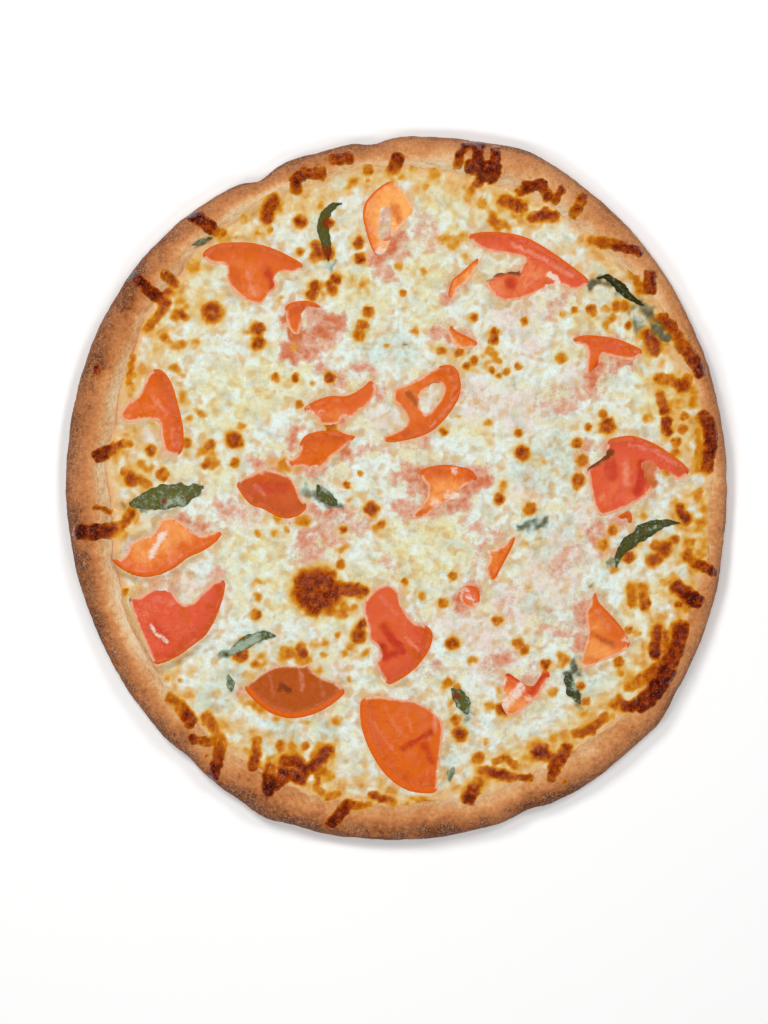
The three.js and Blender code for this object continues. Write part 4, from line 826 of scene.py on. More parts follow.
# Dark, tough shreds of cheese near the rim, each from its paler root to its darker tip
SHREDS = lines(
    (3.7, (1.1, 1.3, 1.4), -97, 135, -103, 139.5, -108, 142.5), (3.2, (0.5, 0.75), -91.7, 131, -95, 133.5),
    (3.5, (0.95, 1.1, 1.35, 1.4), -121.5, 96.5, -127, 101, -134, 107, -140, 111),
    (2.7, (0.85, 0.6, 0.55), -119.5, 95.5, -124, 89, -129.6, 82.2),
    (2.7, (0.7, 0.85), -120, 110, -115.5, 106), (2.6, 1.15, -155.6, 60.6),
    (2, (0.5, 0.6, 0.45), -137, 68, -138.5, 60, -138.9, 54),
    (3.8, (1.15, 1.1, 0.85), -153.9, 16.9, -151, 18.4, -148, 20),
    (2.7, (0.8, 0.65, 0.55), -149, 20, -144, 22, -139, 23),
    (2.8, (0.55, 0.6, 0.55), -141.5, 8, -135, 5, -129, 1.6), (1.7, (0.85, 0.75), -156, -10, -149, -12.7),
    (4.2, (1.35, 1.3, 1.15, 0.85), -164.3, -23, -159, -23.2, -153, -23, -148, -22),
    (2.9, (0.75, 0.6, 0.8, 0.85), -149, -22, -144, -20.5, -140.5, -17, -138, -12.5),
    (3, 0.6, -117.8, -109.2, -112.6, -113.4),
    (3.5, (0.6, 0.95, 0.9), -112.6, -113.4, -109, -117.5, -107, -121),
    (3.4, (0.7, 0.7, 0.55, 0.5), -99, -119.5, -95.5, -124, -92.5, -129, -90.5, -132.5),
    (2.7, (1.1, 0.8, 0.6), -105.9, -130, -101, -131, -96, -132),
    (3.3, (0.7, 1, 1.1, 1.25), -91.9, -135.2, -93, -140, -94, -145, -95.5, -150),
    (2.3, (1.25, 1.2), -101.5, -147.5, -96, -150.6), (1.3, 0.9, -98.4, -139.4),
    (3, (0.5, 0.85, 0.9), -72.7, -131, -73.2, -138, -75, -144.5),
    (3.5, (0.7, 1, 1.3, 1.3), -65.6, -145.5, -66.6, -150, -66.8, -154, -66.4, -156.5),
    (3, (1.2, 0.85, 0.7), -64, -154.5, -59, -151.5, -55, -148.7),
    (4.2, (0.8, 1, 1.1), -58.5, -142, -53, -142, -48, -146.5), (3.6, (1.05, 1.1), -59, -147.5, -50, -151),
    (3.9, (1, 1.1, 0.95), -43.5, -145, -39.5, -140.5, -36, -136.5),
    (2.4, (0.6, 0.5, 0.5, 0.5), -41, -149, -41.6, -156, -36.6, -160.4, -30.6, -159),
    (3.3, (0.95, 1.1, 1.2), -25.4, -164.4, -30, -169.5, -34, -174),
    (2.2, (0.7, 0.55, 0.5), -24, -165, -19, -165.6, -14.8, -164.8),
    (2.4, (0.9, 0.85, 0.5), -12.7, -159.4, -8.6, -161.2, -2, -163),
    (3.9, (1.1, 0.95, 0.6), 37.2, -160.2, 39, -157.4, 42, -153),
    (3.1, (0.6, 1.05, 1.05, 0.85), 44, -147, 49, -148, 53, -148.8, 58, -149.6),
    (1.9, (0.85, 0.75, 0.8), 58, -149.6, 63, -150.4, 69, -150.8),
    (2.4, (0.5, 0.75, 0.5), 50.3, -142.5, 55.5, -140.4, 61.8, -144.5), (5.4, 1.05, 74.2, -137.6),
    (3.6, (0.85, 0.95, 0.85), 88, -135.6, 84, -141.5, 82, -145), (3.8, 0.9, 77, -139, 83, -141),
    (2.7, 0.85, 82, -145, 80, -150.4), (1.6, 0.7, 86.7, -152.3),
    (2.9, (0.6, 0.9, 0.7, 0.5), 92.9, -127.9, 99, -126.2, 104, -122.5, 108.5, -118.6),
    (3.3, (1.2, 1.15), 118.4, -113.7, 125, -113.2),
    (4.6, (1.15, 1.2, 1.25), 126.1, -112.3, 131, -108.6, 134.5, -104.4),
    (4.9, (1.1, 1.3, 1.2, 0.95), 134, -104.4, 137.4, -99.6, 140, -95, 140.9, -91.5),
    (3.8, (0.5, 0.6, 0.75), 120.5, -103.4, 128.7, -98.4, 136, -93),
    (4.6, (1, 1.1, 1.1, 1.05), 143.6, -85.4, 145, -81, 146.2, -77, 146.8, -72.8),
    (2.2, (0.65, 0.6), 139.6, -76, 139, -85), (3.5, (0.85, 0.95, 1.2), 135.4, -73.6, 134, -80, 133.6, -86),
    (2.8, (0.7, 0.8, 1.05, 1.3), 151, -36, 154.5, -39.6, 159, -41.2, 164, -43.6),
    (4.2, (1.1, 1.25, 1.3), 145.5, -51.8, 150.5, -55.5, 154.6, -58.6), (2.2, 0.9, 146, -60.5),
    (3.2, 0.55, 121.8, -52, 121.8, -59.5), (3.4, (0.5, 0.6, 0.75), 127.4, -51.8, 127.8, -57, 128.7, -60.6),
    (3.9, (0.95, 1.1, 1.15, 1.1, 0.9), 158.8, 36.4, 161.8, 32, 162.6, 25, 161.4, 17.5, 160.4, 11),
    (2.2, (0.4, 0.45, 0.4), 156, 30, 156.4, 20, 156, 9),
    (3.6, (0.9, 1, 0.7), 137.7, 87.2, 141.4, 83.6, 144.5, 79),
    (3.8, (0.7, 0.95, 1.05, 1.2), 147, 74.5, 150.5, 70, 154, 65.4, 156.6, 60.2),
    (4.2, (1, 0.95), 131.6, 77.4, 133.4, 72),
    (3.4, (0.6, 0.6, 0.95, 0.6), 136, 56.6, 142, 55.6, 148.6, 51.8, 150, 56),
    (3.1, (0.6, 0.75, 0.95), 136.7, 47.5, 138, 43.5, 138.8, 40.2),
    (3.3, (0.95, 0.9), 139.8, 34.6, 140.3, 29.6), (3.6, 1, 131, 109.5, 131, 103),
    (2.4, (0.55, 0.5), 124, 108, 126, 102),
    (3, (0.55, 0.75, 1, 1.15), 101, 128, 109, 127, 117, 124.5, 125, 122),
    (2.4, (0.7, 1.1, 1.2, 1.3), 31.4, 167, 32.7, 172.4, 35.3, 177, 44.6, 178),
    (3.1, (1.25, 1.15), 41.6, 175.6, 42, 168.6), (2.8, (1.2, 1.15), 51.2, 174.6, 50.8, 168),
    (4.3, (1.1, 1.15, 1.1), 38.6, 166.2, 45, 165, 50, 164.6), (3.4, (1.1, 1.05), 46, 161.8, 49, 161),
    (2.6, (0.95, 0.75, 0.5), 43.4, 159.4, 40.4, 156.4, 38.2, 153.4),
    (3, (0.8, 1.05, 1.05, 0.9), 64, 153.4, 67.5, 156, 75, 156.4, 78, 151.6),
    (2.5, (0.7, 1), 81.8, 148.4, 85, 153.6), (2.9, (0.6, 0.8, 0.85), 91.6, 142, 94, 146, 96, 150),
    (3.9, (0.7, 0.95, 0.85), 55.5, 148.9, 60, 147.2, 64.4, 145.4),
    (3.3, (0.8, 1, 0.8), 70.4, 139.8, 76.4, 142, 81.2, 140.6),
    (3.6, (1.05, 0.95, 0.7), 0.3, 170.4, -1, 167.4, -2.4, 164.8),
    (3.4, (0.95, 1, 0.95, 0.75), -52.4, 155, -53, 159, -48.3, 162.8, -39.6, 162.8),
    (3.6, (0.9, 0.95), -32.4, 170.3, -26, 170.5), (2.4, (0.6, 0.5), -64.6, 147, -62.6, 150.6),
    (2.4, (0.5, 0.45), 157, -2, 155.6, -6), (3, (0.9, 1), 147.1, -10.6, 150.2, -16.6),
)

# Where juice has tinted the cheese and flesh shows through it, then where it is bluish white
PINK = lines(
    (8, 0.9, -54, 70, -44, 76, -34, 84), (5, 0.8, -47, 92, -38, 88), (7, 0.65, -1, 130, 2, 122),
    (5, 0.6, -9, 112, -2, 110), (6, 0.6, 14, 136, 18, 128), (4.5, 0.8, 22, 84, 20, 78),
    (4, 0.7, 30, 104, 25, 98), (5, 0.8, 26, 78, 38, 76), (6, 0.6, -88, -10, -76, -11),
    (9, 0.7, -46, -32, -36, -24), (7, 0.6, -28, -22, -18, -16), (6, 0.95, 34, -60, 40, -54),
    (6, 0.8, 104, -22, 107, -32), (7, 0.5, 84, -40, 92, -34), (5, 0.8, 96, -60, 96, -84),
    (6, 0.6, 60, -112, 68, -102, 74, -96), (6, 0.7, 50, -92, 56, -88), (8, 0.55, 78, 44, 90, 46),
    (5, 0.7, 4, 24, 12, 23), (7, 0.95, 6, 6, 16, 2, 34, 2, 44, 6), (7, 0.9, 20, -4, 34, -6),
    (5, 0.8, 0, -10, 10, -12, 20, -14), (5, 0.5, 57, -62, 62, -54), (4, 0.4, -30, -31, -27, -28),
    (5, 0.6, 78, 92, 86, 98), (5, 0.8, -38, 62, -28, 54), (4, 0.9, -38, 30, -30, 22),
    (4, 0.9, -52, 30, -56, 20), (4, 0.8, -66, 14, -72, 12), (4, 0.8, -47, -12, -36, -14, -28, -12),
    (4, 0.35, 42, 52, 40, 46), (4.5, 0.6, -95, -45, -91, -43), (6, 0.6, -130, -50, -116, -48),
    (4, 0.6, 108, 58, 102, 48), (6, 0.5, 36, -20, 50, -24), (5, 0.5, -4, -38, 2, -46),
    (6, 0.6, 74, -68, 86, -74), (4, 0.7, 98, 24, 96, 12), (4, 0.7, 116, -20, 112, -18),
    (4, 0.7, -20, 62, -12, 60), (4, 0.6, -8, 20, -20, 20), (4, 0.6, 46, -28, 42, -38),
    (3, 0.6, 20, -92, 16, -98), (4, 0.5, 68, 120, 76, 112), (4, 0.3, 60, 90, 70, 92),
    (4.2, 1, 103, 66, 101, 54), (4.6, 0.95, -14, 117, -5, 123, 2, 131), (4.6, 0.9, -60, 10, -52, 12),
    (5, 0.9, -38, 28, -30, 34), (4, 0.7, 110, 66, 112, 60), (4, 0.7, -56, -16, -47, -18),
    (3, 0.8, -76, -109, -79, -107), (4.2, 1.4, 130, 12, 131, 3), (4, 1, 114, 66, 120, 65),
    (4.6, 1.5, -55, 87, -52, 79), (4, 1.1, -31, 25, -26, 18), (4, 0.85, -14, 53, -8, 49),
    (2, 0.6, -6, 143, -6, 138), (4, 0.9, -112, -17, -100, -21), (3.5, 0.8, -46, 8, -40, 10),
)
LILAC = spots(
    0.9, -5, 36, 8, 65, 110, 7, 60, 90, 12, 90, -30, 14, 80, -45, 16, 60, -60, 12, 45, -75, 12,
    100, -14, 10, -76, -14, 8, -108, -52, 8, -30, -95, 6, 50, -90, 12, 17, 45, 6, -6, 138, 7, 95, 55, 10,
    -118, 28, 8, -128, 26, 8, -38, 76, 7, 40, 45, 12, 98, -66, 7, 16, 132, 7, 70, 74, 7, 62, 40, 12,
    68, 0, 9, 30, -68, 10,
)
# Whey-blue cheese, and the green smears beside the basil
BLUE = spots(
    0.5, 76, -31, 5, 71, -60, 6, 78, -66, 5, 86, 27, 5, 155, -12, 3.5, -3, 74, 9, 4, 70, 8, -12, 70, 8,
    88, -22, 7, 74, -22, 7, -77, -79, 8, -85, -92, 7, -90, -100, 7, 34, -120, 7, 96, -98, 6, 101, -104, 6,
    29, -148, 6, 26, -138, 6, 112, 104, 6, 122, 88, 6, -116, -7, 6, -32, 118, 4, -38, -5, 6, 72, 10, 14,
    85, 16, 12, -96, -110, 10, -40, 138, 4, 108, -44, 5, 128, -22, 5, 140, -24, 5, -60, -130, 10,
    -36, -128, 8,
) + spots(
    1, 5, 74.5, 1.6, 4.7, 69, 1.4, 66, -20, 4, 72, -19, 3.6, 78, -18, 3, -67, -75, 2.4, -73, -78, 2.6,
    -86, -100, 2.6, 107, 106, 3, 115, 100, 2.6, 124, 86, 3, 121, 92, 3, 110, -40, 3, 149, -14, 2.4,
    150, -18, 2, -101, 128, 2, 28, -151, 2, 94, -96, 3, 93, -102, 2.8, 94, -109, 2.6, 36, -119, 3,
    -34, 117, 3, -40, -4, 3, -34, -9, 2.6, -133, -12, 3, 126, 80, 3, 130, 74, 3, -141, -9, 2, 102, -50, 2.4,
    31, -100, 2,
) + lines(
    (4.2, (1.1, 1.4), 127, 94, 132, 87, 138, 79), (3.2, (1.2, 1), 100, 107, 108, 106),
    (3, (1.1, 0.9), 111, -40, 117, -34), (2.6, (1.2, 1.1), 63, -20, 76, -19),
    (2.4, (1, 1.1), -92, -88, -84, -84), (2.2, (1.1, 1), 126, 80, 124, 87),
    (2.2, 1, -35.5, 117, -34.5, 113), (2, 1, 94, -113, 97, -116), (2.6, (1.1, 1.2), 92, -90, 89.5, -96),
    (3.4, (1, 1.2), -47, -2, -38, -5, -31, -10), (3, (1.3, 1.2), 130, 90, 134, 86),
    (2.4, (1, 0.9), -143, -10, -136, -12),
)
# Richer, yellower cheese
YELLOW = spots(
    0.8, -90, 45, 20, -75, 50, 16, -100, 95, 12, -20, 100, 14, 8, 120, 12, 24, 150, 16, 30, 140, 12,
    60, 145, 10, -10, 104, 8, -30, -60, 16, -14, -66, 12, 15, -30, 22, 5, -40, 16, 70, -50, 12, 75, -36, 10,
    -74, -35, 16, -60, 60, 16, -58, 150, 10, 135, 48, 14, -90, 126, 14, 125, -60, 10, 10, 90, 8,
    100, -125, 14, 120, -95, 10, 98, 82, 12, -12, -98, 4, 20, 102, 12, 40, 30, 8, -90, 8, 8, 128, 62, 10,
    -60, -54, 12, -100, 110, 10, 40, 112, 8, 55, -40, 10,
)
# White places without any gold, then lumps that stand up between the slices and lap over them
PALE = spots(
    1, 85, 135, 9, 18, 112, 8, -98, -112, 8, 47, 94, 7, 76, -30, 8, 74, -62, 9, 86, 26, 6, 158, 23, 4,
    -25, -100, 5, 63, 90, 5, 134, 69, 4, -122, -104, 5, 121.8, -106.8, 4, 119, -74, 4, 156, 22, 3,
    142, -50, 3, 131, -10, 4, -52, -44, 5,
)
MOUNDS = lines(
    (6, 1, -8, 36, -1, 36.5), (3, 1, -6, 143, -6.3, 131), (3.6, 1, 17, 45, 20, 50),
    (3.4, 0.8, 48, 116, 56, 116), (4.2, 1, -46, 89, -40, 85), (4, 0.8, -53, 66, -46, 70),
    (4, 0.8, -120, -52, -112, -50), (3.6, 0.8, -30, -95, -24, -98), (3, 0.8, 8, -55, 5, -60),
    (4, 0.8, 100, 56, 110, 62), (4, 0.6, 30, -8, 40, -6), (3.4, 0.8, 62, -108, 56, -108),
    (3.6, 0.8, -130, 26, -132, 32), (5, 0.8, 82, 100, 76, 96), (3, 0.8, 96, -60, 92, -68),
    (5, 0.8, 128, 10, 138, 4), (4, 0.8, -48, 3, -44, 8), (3, 0.9, 27, -6, 31, -4),
)


# ---- shader graphs ----


def tint(red: int, green: int, blue: int) -> tuple[float, float, float, float]:
    """Linear colour of a screen colour given in 0 to 255."""
    parts = [
        channel / 12.92 if channel <= 0.04045 else ((channel + 0.055) / 1.055) ** 2.4
        for channel in (red / 255.0, green / 255.0, blue / 255.0)
    ]
    return (parts[0], parts[1], parts[2], 1.0)


class Graph:
    """The node tree of one material, with a short call for each kind of node it uses."""

    def __init__(self, name: str, level: bool = True) -> None:
        """Starts an empty tree and reads the object's own coordinates.

        Args:
            name: the material's name.
            level: whether the surface lies level, so that patterns need no height.
        """
        self.dimensions = "2D" if level else "3D"
        self.material = bpy.data.materials.new(name)
        self.material.use_nodes = True
        self.tree = self.material.node_tree
        self.tree.nodes.clear()
        self.place = self.node("ShaderNodeTexCoord").outputs["Object"]
        self.color: object = (255, 255, 255)

    def node(self, kind: str, **settings: object) -> bpy.types.Node:
        """A new node with its settings."""
        made = self.tree.nodes.new(kind)
        for key, value in settings.items():
            setattr(made, key, value)
        return made

    def feed(self, socket: Socket, source: object) -> None:
        """Links a socket to another node's output, or sets its number or colour."""
        if isinstance(source, bpy.types.NodeSocket):
            self.tree.links.new(source, socket)
        else:
            socket.default_value = source

    def mark(self, name: str) -> Socket:
        """A value that the mesh carries at each point."""
        return self.node("ShaderNodeAttribute", attribute_name=name).outputs["Fac"]

    def noise(self, size: float, detail: float = 2.0, rough: float = 0.5, swirl: float = 0.0) -> Socket:
        """Noise of 0 to 1.

        Args:
            size: width of a lump in millimetres.
            detail: number of finer layers.
            rough: strength of each finer layer.
            swirl: how far it is pulled about.

        Returns:
            The noise's value.
        """
        made = self.node("ShaderNodeTexNoise", noise_dimensions=self.dimensions)
        self.feed(made.inputs["Vector"], self.place)
        settings = {"Scale": 1.0 / (size * MM), "Detail": detail, "Roughness": rough, "Distortion": swirl}
        for socket, value in settings.items():
            made.inputs[socket].default_value = value
        return made.outputs["Fac"]

    def math(self, operation: str, first: object, second: object) -> Socket:
        """One step of arithmetic."""
        made = self.node("ShaderNodeMath", operation=operation)
        self.feed(made.inputs[0], first)
        self.feed(made.inputs[1], second)
        return made.outputs[0]

    def add(self, *terms: object) -> Socket:
        """Sum of several values."""
        return reduce(partial(self.math, "ADD"), terms)

    def times(self, *terms: object) -> Socket:
        """Product of several values."""
        return reduce(partial(self.math, "MULTIPLY"), terms)

    def sway(self, source: Socket, strength: float) -> Socket:
        """Noise of 0 to 1 turned to plus and minus half of strength."""
        return self.math("MULTIPLY", self.math("SUBTRACT", source, 0.5), strength)

    def step(self, source: object, start: float, end: float, most: float = 1.0) -> Socket:
        """Smooth step from 0 at start to most at end."""
        made = self.node("ShaderNodeMapRange", interpolation_type="SMOOTHSTEP")
        self.feed(made.inputs["Value"], source)
        for socket, value in {"From Min": start, "From Max": end, "To Min": 0.0, "To Max": most}.items():
            made.inputs[socket].default_value = value
        return made.outputs["Result"]

    def mix(self, share: object, first: object, second: object) -> Socket:
        """Colour between two colours, each a socket or a screen colour."""
        made = self.node("ShaderNodeMix", data_type="RGBA")
        self.feed(made.inputs[0], share)
        for socket, color in ((made.inputs[6], first), (made.inputs[7], second)):
            self.feed(socket, tint(*color) if isinstance(color, tuple) else color)
        return made.outputs[2]

    def lay(self, share: object, color: object) -> None:
        """Lays a colour over the colour so far."""
        self.color = self.mix(share, self.color, color)

    def ramp(self, source: Socket, stops: Sequence[tuple[float, Rgb]]) -> Socket:
        """Colour read from stops of place and screen colour."""
        made = self.node("ShaderNodeValToRGB")
        elements = made.color_ramp.elements
        while len(elements) < len(stops):
            elements.new(1.0)
        for element, (place, color) in zip(elements, stops):
            element.position = place
            element.color = tint(*color)
        self.feed(made.inputs["Fac"], source)
        return made.outputs["Color"]

    def surface(self, rough: object, height: Socket, depth: float, **fixed: object) -> bpy.types.Material:
        """Joins colour, roughness and fine relief to the shader and the output.

        Args:
            rough: roughness.
            height: fine relief, about 0 to 1.
            depth: millimetres of a height of 1.
            fixed: other sockets, with underscores for spaces.

        Returns:
            The finished material.
        """
        bump = self.node("ShaderNodeBump")
        bump.inputs["Distance"].default_value = depth * MM
        self.feed(bump.inputs["Height"], height)
        shader = self.node("ShaderNodeBsdfPrincipled")
        self.feed(shader.inputs["Base Color"], self.color)
        self.feed(shader.inputs["Roughness"], rough)
        self.feed(shader.inputs["Normal"], bump.outputs["Normal"])
        for name, value in fixed.items():
            self.feed(shader.inputs[name.replace("_", " ")], value)
        output = self.node("ShaderNodeOutputMaterial")
        self.feed(output.inputs["Surface"], shader.outputs["BSDF"])
        return self.material


@dataclass(frozen=True)
class BrowningScale:
    """Colours that cheese turns as it browns, from pale yellow to char."""

    stops: tuple[tuple[float, Rgb], ...] = (
        (0.0, (226, 206, 140)), (0.115, (220, 178, 78)), (0.23, (212, 148, 34)),
        (0.346, (204, 122, 14)), (0.46, (186, 94, 4)), (0.615, (160, 64, 0)),
        (0.77, (132, 38, 0)), (0.885, (106, 24, 2)), (1.0, (70, 4, 2)),
    )
    top: float = 1.3
    burnt: Rgb = (126, 54, 8)

    def over(self, graph: Graph, browning: Socket) -> None:
        """Lays browning over a graph's colour, from 0 for none to about 1.4 for char."""
        toasted = graph.ramp(graph.math("MULTIPLY", browning, 1.0 / self.top), self.stops)
        graph.lay(graph.step(browning, 0.0, 0.36), toasted)

    def singe(self, graph: Graph, browning: Socket) -> None:
        """Lays a burn straight over a graph's colour, without the pale stages of cheese."""
        graph.lay(graph.step(browning, 0.15, 0.8), self.burnt)


BROWNING = BrowningScale()


@dataclass(frozen=True)
class CheeseFinish:
    """Melted cheese: creamy and wet, mottled, tinted by juice and basil, browned in spots."""

    cream: Rgb = (225, 219, 182)
    white: Rgb = (226, 238, 232)
    rich: Rgb = (226, 220, 156)
    shade: Rgb = (186, 182, 154)
    warm: Rgb = (212, 178, 126)
    pore: Rgb = (184, 172, 142)
    tan: Rgb = (222, 180, 108)
    gild: Rgb = (206, 134, 36)
    blush: Rgb = (218, 166, 140)
    flesh: Rgb = (212, 112, 66)
    amber: Rgb = (200, 104, 28)
    fleck: Rgb = (176, 96, 50)
    lilac: Rgb = (228, 214, 208)
    teal: Rgb = (196, 218, 206)
    herb: Rgb = (96, 104, 78)
    thin: Rgb = (224, 188, 138)
    edge: Rgb = (220, 168, 116)
    painted_glint: Rgb = (236, 184, 128)
    ember: Rgb = (84, 28, 8)
    dusk: Rgb = (66, 68, 50)

    def build(self) -> bpy.types.Material:
        """Makes the material from the sheet's marks and noise."""
        g = Graph("melted_cheese")
        broad, medium = g.noise(13.0, 1.0, 0.5, 0.4), g.noise(6.5, 1.0, 0.4, 0.3)
        small, fine = g.noise(2.8, 1.0, 0.5), g.noise(1.0, 1.0, 0.5)
        g.color = g.mix(g.step(g.add(broad, g.sway(medium, 0.8)), 0.2, 0.55), self.cream, self.white)
        g.lay(g.times(g.mark("yellow"), g.step(medium, 0.3, 0.65)), self.rich)
        g.lay(g.times(g.mark("lilac"), g.step(medium, 0.15, 0.5, 0.95)), self.lilac)
        g.lay(g.times(g.mark("blue"), 0.9), self.teal)
        hollow = g.add(g.mark("hollow"), g.sway(medium, 1.6), g.sway(small, 0.2))
        g.lay(g.step(hollow, 0.0, 1.15, 0.88), self.warm)
        # Painted shade: soft grey patches that stand in for the shading among the lumps.
        g.lay(g.step(g.noise(8.5, 1.0, 0.4), 0.48, 0.85, 0.5), self.shade)
        g.lay(g.step(g.add(fine, g.sway(small, 0.6)), 0.48, 0.85, 0.3), self.pore)
        gild = g.add(g.mark("gild"), g.sway(medium, 1.0))
        g.lay(g.step(gild, -0.1, 0.7, 0.9), self.tan)
        g.lay(g.step(gild, 0.55, 1.2, 0.85), self.gild)
        herb = g.step(g.add(g.mark("blue"), g.sway(medium, 0.5), g.sway(small, 0.4)), 0.4, 1.25, 0.85)
        g.lay(herb, self.herb)
        stain = g.times(g.mark("pink"), 1.9)
        juice = g.add(stain, g.sway(broad, 0.9), g.sway(medium, 1.2), g.sway(small, 0.8), -0.6)
        g.lay(g.step(juice, -0.1, 0.95), self.blush)
        below = g.mix(g.step(g.add(medium, g.sway(small, 0.4)), 0.42, 0.6), self.amber, self.flesh)
        g.lay(g.step(juice, 0.7, 1.6, 0.92), below)
        grain = g.times(g.mark("pink"), g.step(g.add(fine, g.sway(small, 0.6)), 0.45, 0.75, 0.4))
        g.lay(grain, self.fleck)
        g.lay(g.times(g.mark("thin"), g.step(medium, 0.2, 0.6)), self.thin)
        g.lay(g.step(g.mark("thin"), 0.7, 1.0, 0.7), self.edge)
        brown = g.mark("brown")
        browned = g.step(brown, 0.2, 0.7)
        uneven = g.add(g.sway(small, 0.55), g.sway(fine, 0.25))
        BROWNING.over(g, g.add(brown, g.times(browned, uneven)))
        # Painted highlight: small pale dots over the browned parts, standing in for wet glints.
        g.lay(g.times(browned, g.step(fine, 0.5, 0.8, 0.14)), self.painted_glint)
        g.lay(g.times(browned, g.step(fine, 0.46, 0.3, 0.35)), self.ember)
        smear = g.step(g.add(g.mark("blue"), g.sway(medium, 0.6), g.sway(small, 0.4)), 0.85, 1.5, 0.8)
        g.lay(smear, self.dusk)
        lumps = g.add(g.times(small, 0.6), g.times(fine, 0.08), g.times(medium, 1.2))
        height = g.add(lumps, g.times(browned, fine, 0.12))
        return g.surface(
            g.add(0.12, g.times(small, 0.16)), height, 1.1, Specular_IOR_Level=0.5,
            Subsurface_Weight=0.2, Subsurface_Radius=(1.0, 0.8, 0.5), Subsurface_Scale=0.0012,
        )


@dataclass(frozen=True)
class CrustFinish:
    """Baked dough with painted shade in its browning: pale by the cheese, tan on the crown, brown and
    floury outside.
    """

    stops: tuple[tuple[float, Rgb], ...] = (
        (0.0, (230, 206, 170)), (0.2, (228, 186, 138)), (0.4, (218, 158, 104)), (0.58, (204, 134, 80)),
        (0.75, (184, 114, 64)), (0.9, (152, 86, 40)), (1.0, (112, 56, 22)),
    )
    flour: Rgb = (230, 194, 160)
    pit: Rgb = (110, 60, 34)

    def build(self) -> bpy.types.Material:
        """Makes the material from the rim's marks and noise."""
        g = Graph("baked_dough", level=False)
        broad, medium = g.noise(26.0, 3.0), g.noise(8.0, 4.0, 0.6, 0.6)
        fine, grains = g.noise(2.2, 3.0, 0.6), g.noise(0.9, 2.0, 0.7)
        uneven = (g.sway(broad, 0.7), g.sway(medium, 0.6), g.sway(fine, 0.6), g.sway(grains, 0.35))
        # Browning with the rim's painted shade mixed in.
        g.color = g.ramp(g.add(g.mark("bake_and_shade"), *uneven), self.stops)
        dust = g.times(g.mark("flour"), g.step(g.add(grains, g.sway(medium, 0.3)), 0.48, 0.66, 0.38))
        g.lay(dust, self.flour)
        speckle = g.add(g.noise(1.2, 1.0), g.sway(fine, 0.4))
        pits = g.times(g.mark("flour"), g.step(speckle, 0.42, 0.28, 0.4))
        g.lay(pits, self.pit)
        height = g.add(g.times(fine, 0.6), g.times(grains, 0.3), g.times(medium, 0.9))
        return g.surface(g.add(0.5, g.times(fine, 0.3)), height, 1.4, Specular_IOR_Level=0.2)


@dataclass(frozen=True)
class TomatoFinish:
    """Baked tomato: wet flesh between orange and red, a deeper peel, glossy seed pockets."""

    orange: Rgb = (220, 98, 2)
    red: Rgb = (220, 84, 52)
    peach: Rgb = (248, 172, 92)
    deep: Rgb = (192, 70, 0)
    toast: Rgb = (176, 78, 8)
    peel: Rgb = (224, 98, 8)
    fringe: Rgb = (238, 190, 154)
    gel: Rgb = (186, 32, 4)
    gold: Rgb = (208, 88, 8)
    pale: Rgb = (238, 170, 140)
    milk: Rgb = (236, 214, 196)

    def build(self) -> bpy.types.Material:
        """Makes the material from each slice's marks and noise."""
        g = Graph("baked_tomato")
        broad, medium, fine = g.noise(9.0, 2.0), g.noise(3.4, 2.0, 0.55, 0.6), g.noise(1.1, 2.0, 0.6)
        red = g.add(g.times(g.mark("redness"), 1.5), g.sway(broad, 1.4), g.sway(medium, 0.5), -0.35)
        g.color = g.mix(g.step(red, 0.0, 1.0), self.orange, self.red)
        fibre = g.mark("fibre")
        light = g.add(g.mark("light"), g.sway(medium, 0.5), g.sway(broad, 0.6), g.times(fibre, 0.1))
        g.lay(g.step(light, 0.0, 1.0), self.peach)
        g.lay(g.step(light, 0.0, -0.6, 0.8), self.deep)
        g.lay(g.step(g.add(g.mark("toasted"), g.sway(broad, 0.3)), 0.0, 0.8, 0.95), self.toast)
        pale = g.add(g.mark("pale"), g.sway(fine, 0.3), g.sway(medium, 0.6))
        g.lay(g.step(pale, 0.25, 1.1, 0.7), self.pale)
        peel = g.add(g.mark("peel"), g.sway(fine, 0.2), g.sway(medium, 0.3))
        g.lay(g.step(peel, 0.2, 0.9, 0.85), self.peel)
        # Painted highlight: a thin pale line just inside the peel, where the rounded border catches the
        # light.
        g.lay(g.times(g.mark("line"), g.step(medium, 0.35, 0.65, 0.22)), self.pale)
        g.lay(g.step(g.add(g.mark("gold"), g.sway(medium, 0.9)), 0.0, 1.1, 0.8), self.gold)
        g.lay(g.step(g.add(g.mark("red"), g.sway(medium, 0.9)), 0.0, 1.1, 0.85), self.gel)
        fringe = g.times(g.mark("fringe"), g.add(1.0, g.sway(fine, 0.4), g.sway(medium, 1.2)))
        g.lay(g.step(fringe, 0.15, 0.9, 0.82), self.fringe)
        # Cheese film over the flesh; one slice's film line is a painted highlight.
        film = g.add(g.mark("film"), g.sway(medium, 0.9), g.sway(fine, 0.5))
        g.lay(g.step(film, 0.3, 0.85, 0.92), self.milk)
        BROWNING.singe(g, g.add(g.mark("scorch"), g.sway(fine, 0.3)))
        height = g.add(g.times(medium, 0.9), g.times(fine, 0.12), g.times(fibre, 0.08))
        return g.surface(
            g.add(0.08, g.times(medium, 0.16)), height, 0.8, Specular_IOR_Level=0.5,
            Subsurface_Weight=0.1, Subsurface_Radius=(1.0, 0.35, 0.2), Subsurface_Scale=0.001,
        )


